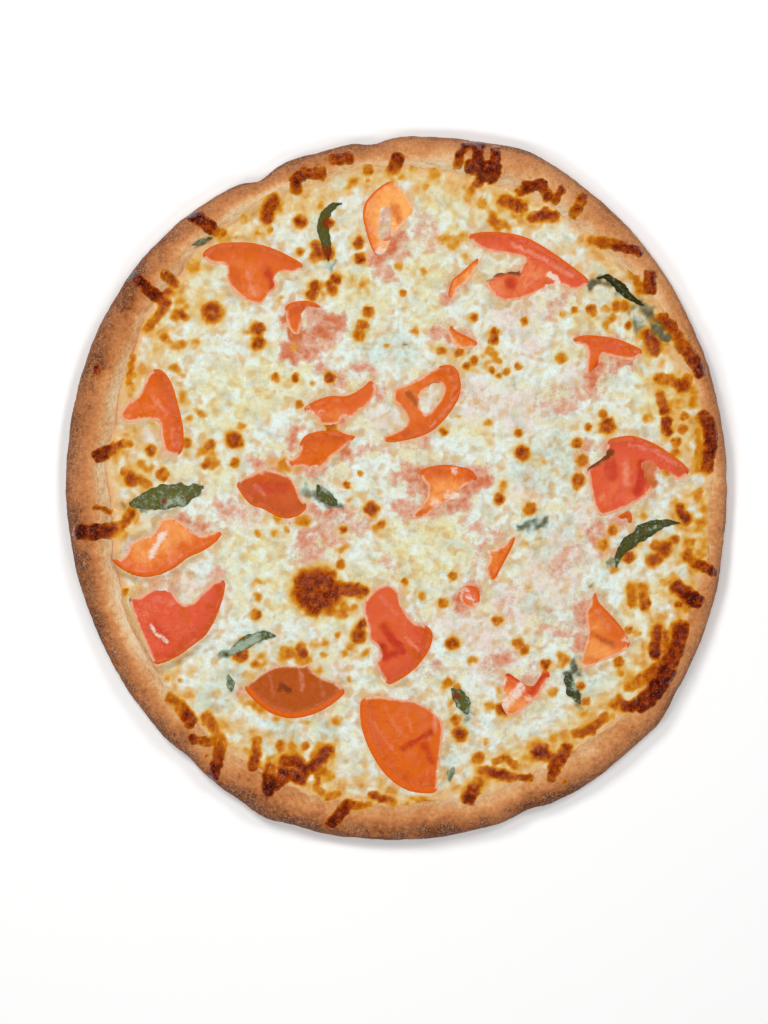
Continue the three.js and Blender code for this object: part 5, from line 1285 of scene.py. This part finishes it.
@dataclass(frozen=True)
class BasilFinish:
    """Wilted basil: dark and oily, olive in parts, with cheese smeared over it and a painted sheen in the
    smear's colour.
    """

    deep: Rgb = (38, 36, 12)
    olive: Rgb = (98, 96, 36)
    rib: Rgb = (118, 120, 60)
    smear: Rgb = (170, 188, 164)

    def build(self) -> bpy.types.Material:
        """Makes the material from each leaf's marks and noise."""
        g = Graph("wilted_basil")
        medium, fine = g.noise(3.0, 3.0, 0.6), g.noise(0.9, 2.0, 0.6)
        dark = g.add(g.mark("dark"), g.sway(medium, 0.8), g.sway(fine, 0.3))
        g.color = g.mix(g.step(dark, 0.1, 0.9), self.olive, self.deep)
        g.lay(g.times(g.mark("rib"), 0.4), self.rib)
        # The pale smear is cheese film; its even base over each leaf is in part painted sheen.
        film = g.add(g.mark("film"), g.sway(medium, 1.5), g.sway(fine, 0.7))
        g.lay(g.step(film, 0.2, 0.95, 0.85), self.smear)
        BROWNING.singe(g, g.add(g.mark("scorch"), g.sway(fine, 0.3)))
        height = g.add(g.times(medium, 0.9), g.times(fine, 0.4), g.times(g.mark("rib"), -0.4))
        return g.surface(g.add(0.14, g.times(fine, 0.2)), height, 0.7, Specular_IOR_Level=0.5)


# ---- tomato slices ----


@dataclass
class TomatoSlice:
    """One slice: a plate with a rounded border, seed pockets and marks on its cut face."""

    number: int
    shape: Slice
    pitch: float = 0.5
    thickness: float = 4.0
    proud: float = 1.0
    clearance: float = 0.9
    shortest_run: float = 5.0
    edge_round: float = 0.9
    bend: float = 0.7
    wave: float = 0.16
    pocket: float = 0.45
    film_rise: float = 0.3
    grain: Grain = field(default_factory=lambda: Grain(11))

    def __post_init__(self) -> None:
        """Works out the outline and how the slice lies."""
        drawn = np.array(self.shape.skin + self.shape.cut, dtype=float)
        self.outline = rounded(drawn)
        self.bay = rounded(self.shape.bay) if self.shape.bay else np.zeros((0, 2))
        middle = drawn.mean(axis=0)
        self.middle, self.outward = middle, middle / np.hypot(*middle)
        reaches = (drawn - middle) @ self.outward
        self.inner = float(reaches.min())
        self.rest = FORM.level + self.proud - self.thickness - self.shape.sunk
        dough = FORM.dough_top(np.hypot(*drawn.T), np.arctan2(drawn[:, 1], drawn[:, 0]))
        runs = np.maximum(reaches - self.inner, self.shortest_run)
        self.slope = max(0.0, float(((dough + self.clearance - self.rest) / runs).max()))

    def underside(self, x: Array, y: Array) -> Array:
        """Height of the slice's lower plane: level, or tilted about the slice's inner end."""
        reach = (x - self.middle[0]) * self.outward[0] + (y - self.middle[1]) * self.outward[1]
        return self.rest + self.slope * (reach - self.inner)

    def loops(self) -> list[tuple[Array, float]]:
        """The outline, and the bay if there is one, each closed and with the sign of its inside."""
        found = [(self.outline, 1.0)]
        if len(self.bay):
            found.append((self.bay, -1.0))
        return [(np.vstack([loop, loop[:1]]), sign) for loop, sign in found]

    def distance(self, x: Array, y: Array) -> Array:
        """Signed distance to the border, negative in the flesh.

        Args:
            x: places along X.
            y: places along Y.

        Returns:
            Distance to the nearest side, its sign from how many sides a ray crosses.
        """
        value = np.full_like(x, -np.inf)
        for loop, sign in self.loops():
            away = foot_on(x, y, loop).away
            inside = np.zeros(x.shape, dtype=bool)
            for (ax, ay), (bx, by) in zip(loop[:-1], loop[1:]):
                crosses = (ay > y) != (by > y)
                run = by - ay if by != ay else 1e-9
                inside ^= crosses & (x < ax + (y - ay) * (bx - ax) / run)
            value = np.maximum(value, sign * np.where(inside, -away, away))
        return value

    def nearest(self, x: Array, y: Array) -> tuple[Array, Array]:
        """Nearest point of the border."""
        feet = [foot_on(x, y, loop) for loop, _ in self.loops()]
        if len(feet) == 1:
            return feet[0].x, feet[0].y
        first = feet[0].away < feet[1].away
        return np.where(first, feet[0].x, feet[1].x), np.where(first, feet[0].y, feet[1].y)

    def rind(self, x: Array, y: Array) -> Array:
        """Distance to the slice's round skin side."""
        return foot_on(x, y, self.shape.skin).away

    def face(self, x: Array, y: Array) -> Array:
        """Height of the slice's flat upper plane."""
        return self.underside(x, y) + self.thickness

    def build(self, material: bpy.types.Material) -> bpy.types.Object:
        """Makes the slice's closed mesh and puts it in place of its solid.

        The cut face is the upper plane with slow waves, less a quarter circle along the border and
        less the seed pockets.

        Args:
            material: the tomato finish.

        Returns:
            The piece.
        """
        shape, grain = self.shape, self.grain
        low, high = self.outline.min(axis=0), self.outline.max(axis=0)
        plan = cover(tuple(low), tuple(high), self.pitch, self.distance, self.nearest)
        x, y = plan.x, plan.y
        depth, skin = -self.distance(x, y), foot_on(x, y, shape.skin)
        rind = skin.away
        bend_x, bend_y = self.bend * grain(x + 50.0, y, 4.0, 2), self.bend * grain(x, y + 50.0, 4.0, 2)
        names = ("red", "gold", "pale", "scorch", "film")
        marks = {name: paint(getattr(shape, name), x + bend_x, y + bend_y, edge(2.2)) for name in names}
        marks["peel"] = smooth(shape.peel + 0.8, shape.peel - 0.8, rind)
        marks["fringe"] = smooth(3.2, 0.0, depth) * smooth(1.5, 3.5, rind)
        # The line mark is a painted highlight: a thin pale line just inside the peel.
        marks["line"] = np.exp(-(((rind - shape.peel - 0.7) / 0.45) ** 2)) * smooth(0.5, 2.0, depth)
        marks["light"] = 1.3 * shape.light + 0.5 * smooth(1.0, 12.0, rind) * smooth(0.0, 3.0, depth) - 0.5
        fibre = grain(skin.x + 0.1 * x, skin.y + 0.1 * y, 1.5, 2)
        marks["fibre"] = fibre * smooth(0.5, 2.0, depth)
        marks["redness"] = np.full_like(x, shape.redness)
        marks["toasted"] = np.full_like(x, shape.toasted)
        short = np.clip(1.0 - depth / self.edge_round, 0.0, 1.0)
        drop = self.edge_round * (1.0 - np.sqrt(np.maximum(1.0 - short * short, 0.0)))
        waves = self.wave * grain(x, y, 7.0, 3) * smooth(0.5, 3.0, depth)
        sunk = self.pocket * np.maximum(marks["red"], marks["gold"])
        top = self.face(x, y) - drop + waves - sunk + self.film_rise * marks["film"]
        under = self.underside(x, y)
        count = x.size
        points = np.concatenate([np.stack([x, y, top], axis=1), np.stack([x, y, under], axis=1)])
        a, b = plan.border[:, 0], plan.border[:, 1]
        walls = np.stack([b, a, a + count, b + count], axis=1)
        below = plan.squares[:, ::-1] + count
        doubled = {name: np.concatenate([values, values]) for name, values in marks.items()}
        name = f"tomato_{self.number}_flesh"
        piece = make_piece(name, points, [plan.squares, below, walls], doubled, material)
        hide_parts(f"tomato_slice_{self.number}")
        return piece


# ---- cheese ----


@dataclass
class CheeseSheet:
    """The melted sheet with its browned shreds: even squares raised to a lumpy, blistered surface."""

    slices: Sequence[TomatoSlice]
    pitch: float = 1.06
    edge_thick: float = 0.05
    skin: float = 1.6
    rim_inset: float = 1.2
    sunk: float = 0.6
    under_shares: tuple[float, ...] = (0.985, 0.97, 0.955, 0.94, 0.92, 0.9, 0.87, 0.84)
    ridge_size: float = 7.0
    ridge_rise: float = 0.55
    lump_size: float = 3.2
    lump_rise: float = 0.32
    mound_rise: float = 0.9
    leaf_dent: float = 0.5
    dome_rise: float = 0.16
    shred_rise: float = 0.8
    speck_rise: float = 0.5
    hug_reach: float = 2.8
    hug_drop: float = 0.25
    lap_rise: float = 0.35
    specks: int = 150
    golden: int = 140
    speck_radius: float = 158.0
    grain: Grain = field(default_factory=lambda: Grain(5))

    def bent(self, x: Array, y: Array, reach: float, size: float = 6.0) -> tuple[Array, Array]:
        """Places pulled about by noise, so that marks painted there get uneven outlines."""
        far = self.grain(x, y + 31.0, size, 2), self.grain(x + 11.0, y, size, 2)
        return x + reach * far[0], y + reach * far[1]

    def rough(self, x: Array, y: Array) -> Array:
        """Uneven strength round 1, so that marks break up a little."""
        return np.clip(0.8 + 1.1 * self.grain(x + 310.0, y, 7.0, 2), 0.0, 1.4)

    def distance(self, x: Array, y: Array) -> Array:
        """Signed distance to the cheese's edge, negative in it.

        Args:
            x: places along X.
            y: places along Y.

        Returns:
            The lesser of the way past its wavy edge and the distance to a shred.
        """
        value = np.hypot(x, y) - FORM.covered(np.arctan2(y, x)) - 0.9 * self.grain(x, y, 9.0, 3)
        ragged_x, ragged_y = self.bent(x, y, 0.9, 3.6)
        for shred in SHREDS:
            near = within(x, y, np.array(shred.points), 9.0)
            near = near[value[near] > -3.0]
            if near.size:
                away = foot_on(ragged_x[near], ragged_y[near], shred.points, square=True).away
                value[near] = np.minimum(value[near], away - shred.half)
        past = np.hypot(x, y) - FORM.outer(np.arctan2(y, x)) + self.rim_inset
        return np.maximum(value, past)

    def nearest(self, x: Array, y: Array) -> tuple[Array, Array]:
        """Steps down the slope of the distance until it is about zero."""
        small = 0.15
        for _ in range(4):
            here = self.distance(x, y)
            slope_x = (self.distance(x + small, y) - self.distance(x - small, y)) / (2 * small)
            slope_y = (self.distance(x, y + small) - self.distance(x, y - small)) / (2 * small)
            steep = np.maximum(slope_x**2 + slope_y**2, 0.25)
            stride = np.clip(here / steep, -0.5, 0.5)
            x, y = x - stride * slope_x, y - stride * slope_y
        return x, y

    def fit_slices(self, x: Array, y: Array, z: Array) -> tuple[Array, Array]:
        """Fits the surface to the slices: it hugs them, laps over their cut sides and dips below.

        Args:
            x: places along X.
            y: places along Y.
            z: heights without the slices.

        Returns:
            The heights, and how near a slice each place is.
        """
        z, near = z.copy(), np.zeros_like(x)
        for piece in self.slices:
            at = within(x, y, piece.outline, 8.0)
            px, py = x[at], y[at]
            away, face = piece.distance(px, py), piece.face(px, py)
            lap = self.grain(px + 200.0, py, 6.0, 3) + 0.35
            lap = 1.5 * np.maximum(lap, 0.0) * smooth(1.0, 5.0, piece.rind(px, py))
            lap = lap + 4.0 * paint(MOUNDS, px, py, edge(2.0))
            hug = np.exp(-((np.maximum(away, 0.0) / self.hug_reach) ** 2))
            near_face = face - self.hug_drop
            outside = z[at] + hug * (near_face - z[at]) * 0.9 + self.lap_rise * hug * smooth(0.0, 1.5, lap)
            level = near_face + self.lap_rise * smooth(0.0, 1.5, lap)
            dip = 0.8 * smooth(lap + 1.0, lap + 4.0, -away)
            inside = level - 0.9 * smooth(lap - 0.6, lap + 1.4, -away) - dip
            z[at] = np.where(away > 0.0, outside, inside)
            near[at] = np.maximum(near[at], np.exp(-((away / 2.6) ** 2)))
        return z, near

    def build(self, material: bpy.types.Material, leaves: Sequence[Leaf]) -> bpy.types.Object:
        """Makes the closed sheet and puts it in place of the cheese solid.

        Args:
            material: the cheese finish.
            leaves: the basil leaves, which press into the cheese.

        Returns:
            The piece.
        """
        reach = FORM.crust_radius + 10.0
        plan = cover((-reach, -reach), (reach, reach), self.pitch, self.distance, self.nearest)
        x, y = plan.x, plan.y
        inland = -self.distance(x, y)
        thick = self.edge_thick + (self.skin - self.edge_thick) * smooth(0.0, 8.0, inland)
        z = FORM.cheese_level(x, y, thick)
        ridge = 1.0 - 2.2 * np.abs(self.grain(x, y, self.ridge_size, 2))
        lumps = self.grain(x + 70.0, y, self.lump_size, 2)
        form = self.ridge_rise * ridge + self.lump_rise * lumps
        z = z + smooth(0.0, 8.0, inland) * form + self.mound_rise * paint(MOUNDS, x, y, edge(2.2))
        marks = self.browned(x, y)
        z = z + marks.pop("swell") * smooth(0.0, 1.6, inland)
        for leaf in leaves:
            away = foot_on(x, y, leaf.spine).away
            z = z - self.leaf_dent * smooth(leaf.half + 1.0, leaf.half - 1.0, away)
        z, near = self.fit_slices(x, y, z)
        slow = self.grain(x + 140.0, y, 12.0, 2)
        warped = self.bent(x, y, 3.0)
        marks["pink"] = np.maximum(paint(PINK, *warped, edge(4.0), 5.0), 0.3 * near * (1.0 + slow))
        marks["lilac"] = np.maximum(paint(LILAC, *warped, edge(5.0), 6.0), 0.5 * near)
        marks["blue"] = paint(BLUE, *warped, edge(2.2))
        marks["brown"] = marks["brown"] * (1.0 - 0.6 * np.clip(marks["blue"] - 0.6, 0.0, 1.0))
        marks["yellow"] = paint(YELLOW, *warped, edge(6.0), 7.0)
        marks["hollow"] = np.clip(0.35 - 0.9 * form, -0.6, 0.9) + 0.75 * near**0.4 * self.rough(x, y)
        marks["thin"] = smooth(7.0, 0.5, inland + 1.5 * lumps)
        round_blisters = paint(BLISTERS, *warped, mound(2.0, 1.0), 7.0)
        toast = np.maximum(round_blisters, paint(SHREDS, *warped, edge(3.2, 3.2), 7.0))
        by_rim = 0.6 * smooth(26.0, 6.0, inland)
        bare = 1.0 - paint(PALE, *warped, edge(1.5))
        marks["gild"] = np.clip(0.75 * toast + by_rim, 0.0, 1.0) * self.rough(x, y) * bare
        return self.close(plan, z, marks, material)

    def scattered(self, rng: np.random.Generator, count: int, halves: Point, tones: Point) -> list[Stroke]:
        """Round marks spread evenly over the sheet.

        Args:
            rng: source of the draws.
            count: how many marks.
            halves: least and greatest half width.
            tones: least and greatest strength.

        Returns:
            The marks.
        """
        radius = self.speck_radius * np.sqrt(rng.uniform(0.0, 1.0, count))
        turn = rng.uniform(0.0, 2 * np.pi, count)
        size, tone = rng.uniform(*halves, count), rng.uniform(*tones, count)
        drawn = zip(radius, turn, size, tone)
        return [Stroke(s, (t,), ((r * np.cos(a), r * np.sin(a)),)) for r, a, s, t in drawn]

    def browned(self, x: Array, y: Array) -> dict[str, Array]:
        """How brown the sheet is, and how far its bubbles and shreds stand up.

        Args:
            x: places along X.
            y: places along Y.

        Returns:
            The browning and the swelling.
        """
        rng = np.random.default_rng(21)
        small = self.scattered(rng, self.specks, (0.5, 1.1), (0.1, 0.3))
        faint = self.scattered(rng, self.golden, (1.5, 3.4), (0.1, 0.4))
        loose, ragged = self.bent(x, y, 1.0), self.bent(x, y, 0.9, 3.6)
        uneven = 0.88 + 0.3 * self.grain(x + 510.0, y, 3.4, 2)
        raised = [Stroke(s.half, (s.tones[0] ** 1.45,), s.points) for s in BLISTERS]
        middles, skirts = paint(raised, *ragged, core(0.5, 1.2)), paint(raised, *loose, core(0.8, 2.0), 6.0)
        domes = (0.66 * middles + 0.25 * skirts) * uneven
        smudge = paint((*SMUDGES, *faint), *ragged, core(0.2, 1.8)) * self.rough(x, y)
        speck = paint(small, *loose, mound(1.5, 1.6))
        on_rim = smooth(-5.0, 2.0, np.hypot(x, y) - FORM.covered(np.arctan2(y, x)))
        blended = paint(SHREDS, *ragged, core(0.35, 1.35), 4.0)
        crisp = paint(SHREDS, *ragged, core(0.8, 1.15), 4.0, square=True)
        patchy = 0.96 + 0.3 * self.grain(x + 410.0, y, 3.4, 2)
        shred = (blended + on_rim * (crisp - blended)) * patchy
        halo = 0.3 * paint(SHREDS, *loose, core(0.9, 1.9), 7.0) * (1.0 - on_rim)
        brown = np.maximum.reduce([domes, shred, speck, smudge, halo * self.rough(x, y)])
        heights = [Stroke(s.half, (self.dome_rise * s.half * s.tones[0],), s.points) for s in BLISTERS]
        raised_domes = paint(heights, *loose, mound(1.25, 2.0), 3.0)
        crags = 0.8 + 0.5 * self.grain(x, y + 77.0, 2.6, 2)
        ridges = self.shred_rise * paint(SHREDS, *ragged, edge(1.6, -0.6), 3.0, square=True) * crags
        swell = np.maximum(np.maximum(raised_domes, ridges), self.speck_rise * speck)
        return {"brown": brown, "swell": swell}

    def close(
        self, plan: Plan, z: Array, marks: dict[str, Array], material: bpy.types.Material
    ) -> bpy.types.Object:
        """Adds the wall and the underside, sunk a little into the dough's floor.

        Args:
            plan: the squares.
            z: heights of the top.
            marks: values at each point.
            material: the cheese finish.

        Returns:
            The piece.
        """
        x, y = plan.x, plan.y
        rim = np.unique(plan.border)
        order = np.zeros(x.size, dtype=int)
        order[rim] = np.arange(rim.size)
        rings = [np.stack([x, y, z], axis=1)]
        for share in (1.0,) + self.under_shares:
            edge_x, edge_y = x[rim] * share, y[rim] * share
            dough = FORM.dough_top(np.hypot(edge_x, edge_y), np.arctan2(edge_y, edge_x))
            rings.append(np.stack([edge_x, edge_y, np.minimum(dough - self.sunk, z[rim] - 0.3)], axis=1))
        rings.append(np.array([[0.0, 0.0, FORM.base - self.sunk]]))
        a, b = plan.border[:, 0], plan.border[:, 1]
        a_low, b_low = order[a] + x.size, order[b] + x.size
        bands = [plan.squares, np.stack([b, a, a_low, b_low], axis=1)]
        for level in range(len(self.under_shares)):
            near, far = level * rim.size, (level + 1) * rim.size
            bands.append(np.stack([b_low + near, a_low + near, a_low + far, b_low + far], axis=1))
        last = len(self.under_shares) * rim.size
        middle = np.full(a.size, x.size + last + rim.size)
        fan = np.stack([b_low + last, a_low + last, middle], axis=1)
        below = np.zeros(last + 1)
        lower = {name: np.concatenate([values, values[rim], below]) for name, values in marks.items()}
        faces = [np.concatenate(bands), fan]
        hidden = len(faces[0]) - len(plan.squares) + len(fan)
        points = np.concatenate(rings)
        piece = make_piece("cheese_sheet", points, faces, lower, material, hidden)
        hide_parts("cheese")
        return piece


# ---- crust ----


@dataclass
class Crust:
    """The baked dough: a closed shell of rings from the underside over the rim to its floor."""

    around: int = 1080
    under_steps: int = 7
    side_steps: int = 20
    crown_steps: int = 34
    slope_steps: int = 12
    under_round: float = 8.0
    side_swell: float = 0.7
    side_inset: float = 0.45
    bake_start: float = 22.0
    bake_step: float = 45.0
    bake_shares: tuple[float, ...] = (0.07, 0.22, 0.37, 0.52, 0.67, 0.82, 1.05, 1.3)
    # Browning by angle and by share across the rim, with painted shade mixed in: where the rim lies in
    # shade it is darker as well.
    bake_and_shade_rows: tuple[tuple[float, ...], ...] = (
        (0.22, 0.32, 0.46, 0.60, 0.70, 0.70, 0.85, 0.75), (0.06, 0.18, 0.38, 0.46, 0.60, 0.62, 0.80, 0.75),
        (0.14, 0.14, 0.40, 0.66, 0.74, 0.74, 0.88, 0.75), (0.22, 0.30, 0.55, 0.78, 0.87, 0.90, 0.96, 0.80),
        (0.00, 0.08, 0.38, 0.68, 0.84, 0.91, 0.98, 0.80), (0.42, 0.48, 0.57, 0.70, 0.81, 0.88, 1.00, 0.80),
        (0.20, 0.30, 0.45, 0.67, 0.84, 0.92, 1.00, 0.80), (0.42, 0.50, 0.56, 0.58, 0.64, 0.64, 0.85, 0.75),
    )

    def profile(self, s: Section) -> tuple[Array, Array, Array]:
        """Radius, height and share of the way from cheese to outer edge of each ring.

        Args:
            s: the rim's sizes at each angle.

        Returns:
            Arrays with one row for each ring and one column for each angle.
        """
        rings = []
        for share in (0.3, 0.6, 0.85):
            radius = (s.outer - self.under_round) * share
            rings.append((radius, np.zeros_like(radius), np.full_like(radius, 1.3)))
        for turn in np.radians(np.linspace(0.0, 82.0, self.under_steps)):
            radius = s.outer - self.under_round * (1.0 - np.sin(turn))
            lift = np.full_like(radius, FORM.waist * (1.0 - np.cos(turn)))
            rings.append((radius, lift, np.full_like(radius, 1.25 - 0.15 * turn)))
        inner = s.covered - 2.0
        bare = s.outer - inner
        for turn in np.radians(np.linspace(0.0, 86.0, self.side_steps)):
            radius = s.crown + (s.outer - s.crown) * np.cos(turn)
            height = FORM.waist + (s.height - FORM.waist) * np.sin(turn)
            low = 0.16 * (1.0 - np.sin(turn))
            rings.append((radius, height, (radius - inner) / bare + low))
        for share in np.linspace(0.0, 1.0, self.crown_steps):
            radius = s.crown + (inner - s.crown) * share
            rings.append((radius, FORM.slope(radius, s), (radius - inner) / bare))
        for share in np.linspace(0.0, 1.0, self.slope_steps + 1)[1:]:
            radius = inner + (s.foot - inner) * share
            rings.append((radius, FORM.slope(radius, s), np.zeros_like(radius)))
        rings.append((s.foot * 0.5, np.full_like(s.foot, FORM.base), np.zeros_like(s.foot)))
        return tuple(np.stack(rows) for rows in zip(*rings))

    def build(self, material: bpy.types.Material) -> bpy.types.Object:
        """Makes the shell and puts it in place of the crust solid.

        Args:
            material: the crust finish.

        Returns:
            The piece.
        """
        angle = np.linspace(0.0, 2.0 * np.pi, self.around, endpoint=False)
        section = FORM.section(angle)
        radius, height, share = self.profile(section)
        x, y = radius * np.cos(angle), radius * np.sin(angle)
        swell = FORM.swell(x, y, height, radius, section)
        outward = smooth(0.85, 1.1, share)
        radius = radius + outward * (swell * self.side_swell - self.side_inset)
        height = height + (1.0 - self.side_swell * outward) * swell
        x, y = radius * np.cos(angle), radius * np.sin(angle)
        bake_and_shade = self.bake_and_shade(angle[None, :] + 0.0 * share, share) + 0.05 * swell
        flour = smooth(0.35, 0.8, share) * np.where(share > 1.12, 0.4, 1.0)
        poles = np.array([[0.0, 0.0, 0.0], [0.0, 0.0, FORM.base]])
        points = np.concatenate([np.stack([x.ravel(), y.ravel(), height.ravel()], axis=1), poles])
        rows = self.around * np.arange(radius.shape[0] - 1)[:, None]
        above = rows + self.around
        ring = np.arange(self.around)
        turned = np.roll(ring, -1)
        sides = np.stack([rows + ring, rows + turned, above + turned, above + ring], axis=2)
        last, pole = self.around * (radius.shape[0] - 1), radius.size
        caps = np.concatenate([
            np.stack([np.full(self.around, pole), turned, ring], axis=1),
            np.stack([np.full(self.around, pole + 1), last + ring, last + turned], axis=1),
        ])
        marks = {
            "bake_and_shade": np.concatenate([bake_and_shade.ravel(), [0.75, 0.2]]),
            "flour": np.concatenate([flour.ravel(), [0.5, 0.0]]),
        }
        piece = make_piece("crust_dough", points, [sides.reshape(-1, 4), caps], marks, material)
        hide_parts("crust")
        return piece

    def bake_and_shade(self, angle: Array, share: Array) -> Array:
        """How far the dough is baked, with painted shade mixed in: more towards the outside, and unevenly
        round the rim.

        Args:
            angle: angle of each point.
            share: its share of the way from the cheese outwards.

        Returns:
            0 for pale to 1 for dark brown.
        """
        turn = np.degrees(angle) % 360.0
        across = np.clip(share, 0.0, 1.3)
        columns = np.array([np.interp(across, self.bake_shares, row) for row in self.bake_and_shade_rows])
        place = (turn - self.bake_start) / self.bake_step
        low = np.floor(place).astype(int)
        blend = smooth(0.0, 1.0, place - low)
        rows = len(self.bake_and_shade_rows)
        near = np.take_along_axis(columns, (low % rows)[None], axis=0)[0]
        far = np.take_along_axis(columns, ((low + 1) % rows)[None], axis=0)[0]
        return near + blend * (far - near)


# ---- basil ----


@dataclass
class BasilLeaf:
    """One wilted leaf: a thin wavy sheet along its middle line, closed round its border."""

    number: int
    shape: Leaf
    along: int = 44
    across: int = 15
    smoothings: int = 6
    thick: float = 0.35
    lift: float = 0.85
    ripple: float = 0.5
    rib_depth: float = 0.25
    curl: float = 0.55
    grain: Grain = field(default_factory=lambda: Grain(41))

    def build(self, material: bpy.types.Material) -> bpy.types.Object:
        """Makes the leaf and puts it in place of its solid.

        The width is a sine along the line, roughened by noise; the face is raised by slow ripples,
        sinks at the midrib and curls down at the border.

        Args:
            material: the basil finish.

        Returns:
            The piece.
        """
        spine = np.array(self.shape.spine, dtype=float)
        lengths = np.concatenate([[0.0], np.cumsum(np.hypot(*np.diff(spine, axis=0).T))])
        t = np.linspace(0.0, 1.0, self.along)
        line = np.stack([np.interp(t * lengths[-1], lengths, spine[:, axis]) for axis in (0, 1)])
        for _ in range(self.smoothings):
            line[:, 1:-1] = (line[:, :-2] + 2 * line[:, 1:-1] + line[:, 2:]) / 4.0
        head = np.gradient(line, axis=1)
        (line_x, line_y), (head_x, head_y) = line, head / np.hypot(*head)
        uneven = 1.0 + 0.3 * self.grain.at(line_x, line_y, 5.0)
        width = self.shape.half * np.maximum(np.sin(np.pi * np.clip(t, 0.02, 0.98)) ** 0.7, 0.08) * uneven
        side = np.linspace(-1.0, 1.0, self.across)
        reach = width[:, None] * side[None, :]
        x = line_x[:, None] - head_y[:, None] * reach
        y = line_y[:, None] + head_x[:, None] * reach
        out = np.abs(side)[None, :]
        x = x + self.ripple * self.grain(x, y, 3.0, 2) * out
        y = y + self.ripple * self.grain(x + 60.0, y, 3.0, 2) * out
        level = FORM.cheese_level(x, y)
        vein = (t[:, None] * 9.0 - 1.6 * out) % 1.0 - 0.5
        rib = np.exp(-((side[None, :] / 0.12) ** 2)) + 0.5 * np.exp(-((vein / 0.14) ** 2))
        z = level + self.lift + self.ripple * self.grain(x, y + 20.0, 4.5, 2)
        z = z - self.rib_depth * rib - self.curl * out**3
        half = self.thick / 2.0
        x, y, z, rib = x.ravel(), y.ravel(), z.ravel(), np.clip(rib, 0.0, 1.0).ravel()
        count = x.size
        points = np.concatenate([np.stack([x, y, z + half], axis=1), np.stack([x, y, z - half], axis=1)])
        index = np.arange(count).reshape(self.along, self.across)
        squares = np.stack([index[:-1, :-1], index[:-1, 1:], index[1:, 1:], index[1:, :-1]], axis=2)
        top = squares.reshape(-1, 4)[:, ::-1]
        loop = np.concatenate([index[0, :-1], index[:-1, -1], index[-1, :0:-1], index[:0:-1, 0]])
        after = np.roll(loop, -1)
        walls = np.stack([loop, after, after + count, loop + count], axis=1)
        faces = np.concatenate([top, top[:, ::-1] + count, walls])
        marks = {
            "rib": rib,
            "dark": np.full(count, self.shape.dark),
            # The least smear over the whole leaf is in part cheese film and in part painted sheen.
            "film": np.maximum(paint(self.shape.film, x, y, edge(1.4)), self.shape.smear_and_sheen),
            "scorch": paint(self.shape.scorch, x, y, edge(1.0)),
        }
        doubled = {name: np.concatenate([values, values]) for name, values in marks.items()}
        piece = make_piece(f"basil_{self.number}_leaf", points, [faces], doubled, material)
        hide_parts(f"basil_leaf_{self.number}")
        return piece


# ---- studio ----


@dataclass(frozen=True)
class Studio:
    """Pale floor, soft light and a camera straight above."""

    frame_tall: float = 531.5
    picture_height: float = 12.0
    camera_height: float = 1600.0
    look_at: Point = (-6.747, -12.716)
    sensor: float = 36.0
    floor_size: float = 6.0
    sky: float = 0.08
    lamps: tuple[tuple[float, float, float, float], ...] = (
        (130.0, 0.8, 0.35, 9.5), (215.0, 0.8, 0.35, 5.8), (305.0, 0.8, 0.35, 4.6), (40.0, 0.8, 0.35, 6.0),
    )
    sparks: tuple[tuple[float, float, float, float], ...] = (
        (110.0, 0.3, 0.09, 1.1), (250.0, 0.42, 0.07, 0.5), (10.0, 0.5, 0.07, 0.5),
    )
    lamp_height: float = 1.35

    def build(self) -> None:
        """Makes the camera, the floor and the lights."""
        scene = bpy.context.scene
        scene.view_settings.view_transform = "Standard"
        camera = bpy.data.cameras.new("camera")
        camera.sensor_fit = "VERTICAL"
        camera.sensor_height = self.sensor
        camera.lens = self.sensor * (self.camera_height - self.picture_height) / self.frame_tall
        holder = bpy.data.objects.new("camera", camera)
        east, north = self.look_at[0] + SHIFT[0], self.look_at[1] + SHIFT[1]
        holder.location = (east * MM, north * MM, self.camera_height * MM)
        scene.collection.objects.link(holder)
        scene.camera = holder
        self.floor()
        self.lights(scene)

    def floor(self) -> None:
        """A pale flat floor just under the pizza."""
        half = self.floor_size / 2.0
        mesh = bpy.data.meshes.new("floor")
        square = [(-half, -half, 0.0), (half, -half, 0.0), (half, half, 0.0), (-half, half, 0.0)]
        mesh.from_pydata(square, [], [(0, 1, 2, 3)])
        g = Graph("pale_floor")
        g.color = g.mix(g.noise(300.0), (252, 252, 252), (254, 254, 253))
        mesh.materials.append(g.surface(0.8, g.noise(2.0), 0.02))
        floor = bpy.data.objects.new("floor", mesh)
        floor.location = (0.0, 0.0, -0.0002)
        bpy.context.scene.collection.objects.link(floor)

    def lights(self, scene: bpy.types.Scene) -> None:
        """A faint white sky, soft lamps all round, and small ones for the glints."""
        world = bpy.data.worlds.new("studio")
        world.use_nodes = True
        world.node_tree.nodes["Background"].inputs["Color"].default_value = (1.0, 1.0, 1.0, 1.0)
        world.node_tree.nodes["Background"].inputs["Strength"].default_value = self.sky
        scene.world = world
        world.cycles_visibility.glossy = False
        for number, (turn, away, size, power) in enumerate(self.lamps + self.sparks, start=1):
            lamp = bpy.data.lights.new(f"lamp_{number}", "AREA")
            lamp.energy, lamp.size = power, size
            holder = bpy.data.objects.new(f"lamp_{number}", lamp)
            angle = math.radians(turn)
            holder.location = (away * math.cos(angle), away * math.sin(angle), self.lamp_height)
            holder.rotation_euler = (math.atan2(away, self.lamp_height), 0.0, angle + math.pi / 2)
            holder.visible_glossy = number > len(self.lamps)
            scene.collection.objects.link(holder)


def main() -> None:
    """Builds the pizza's pieces and the studio."""
    logging.basicConfig(level=logging.INFO, format="%(name)s %(message)s")
    Studio().build()
    cheese = CheeseFinish().build()
    tomato, basil = TomatoFinish().build(), BasilFinish().build()
    Crust().build(CrustFinish().build())
    slices = [TomatoSlice(number, shape) for number, shape in enumerate(SLICES, start=1)]
    for piece in slices:
        piece.build(tomato)
    CheeseSheet(slices).build(cheese, LEAVES)
    for number, shape in enumerate(LEAVES, start=1):
        BasilLeaf(number, shape).build(basil)


if __name__ == "__main__":
    main()
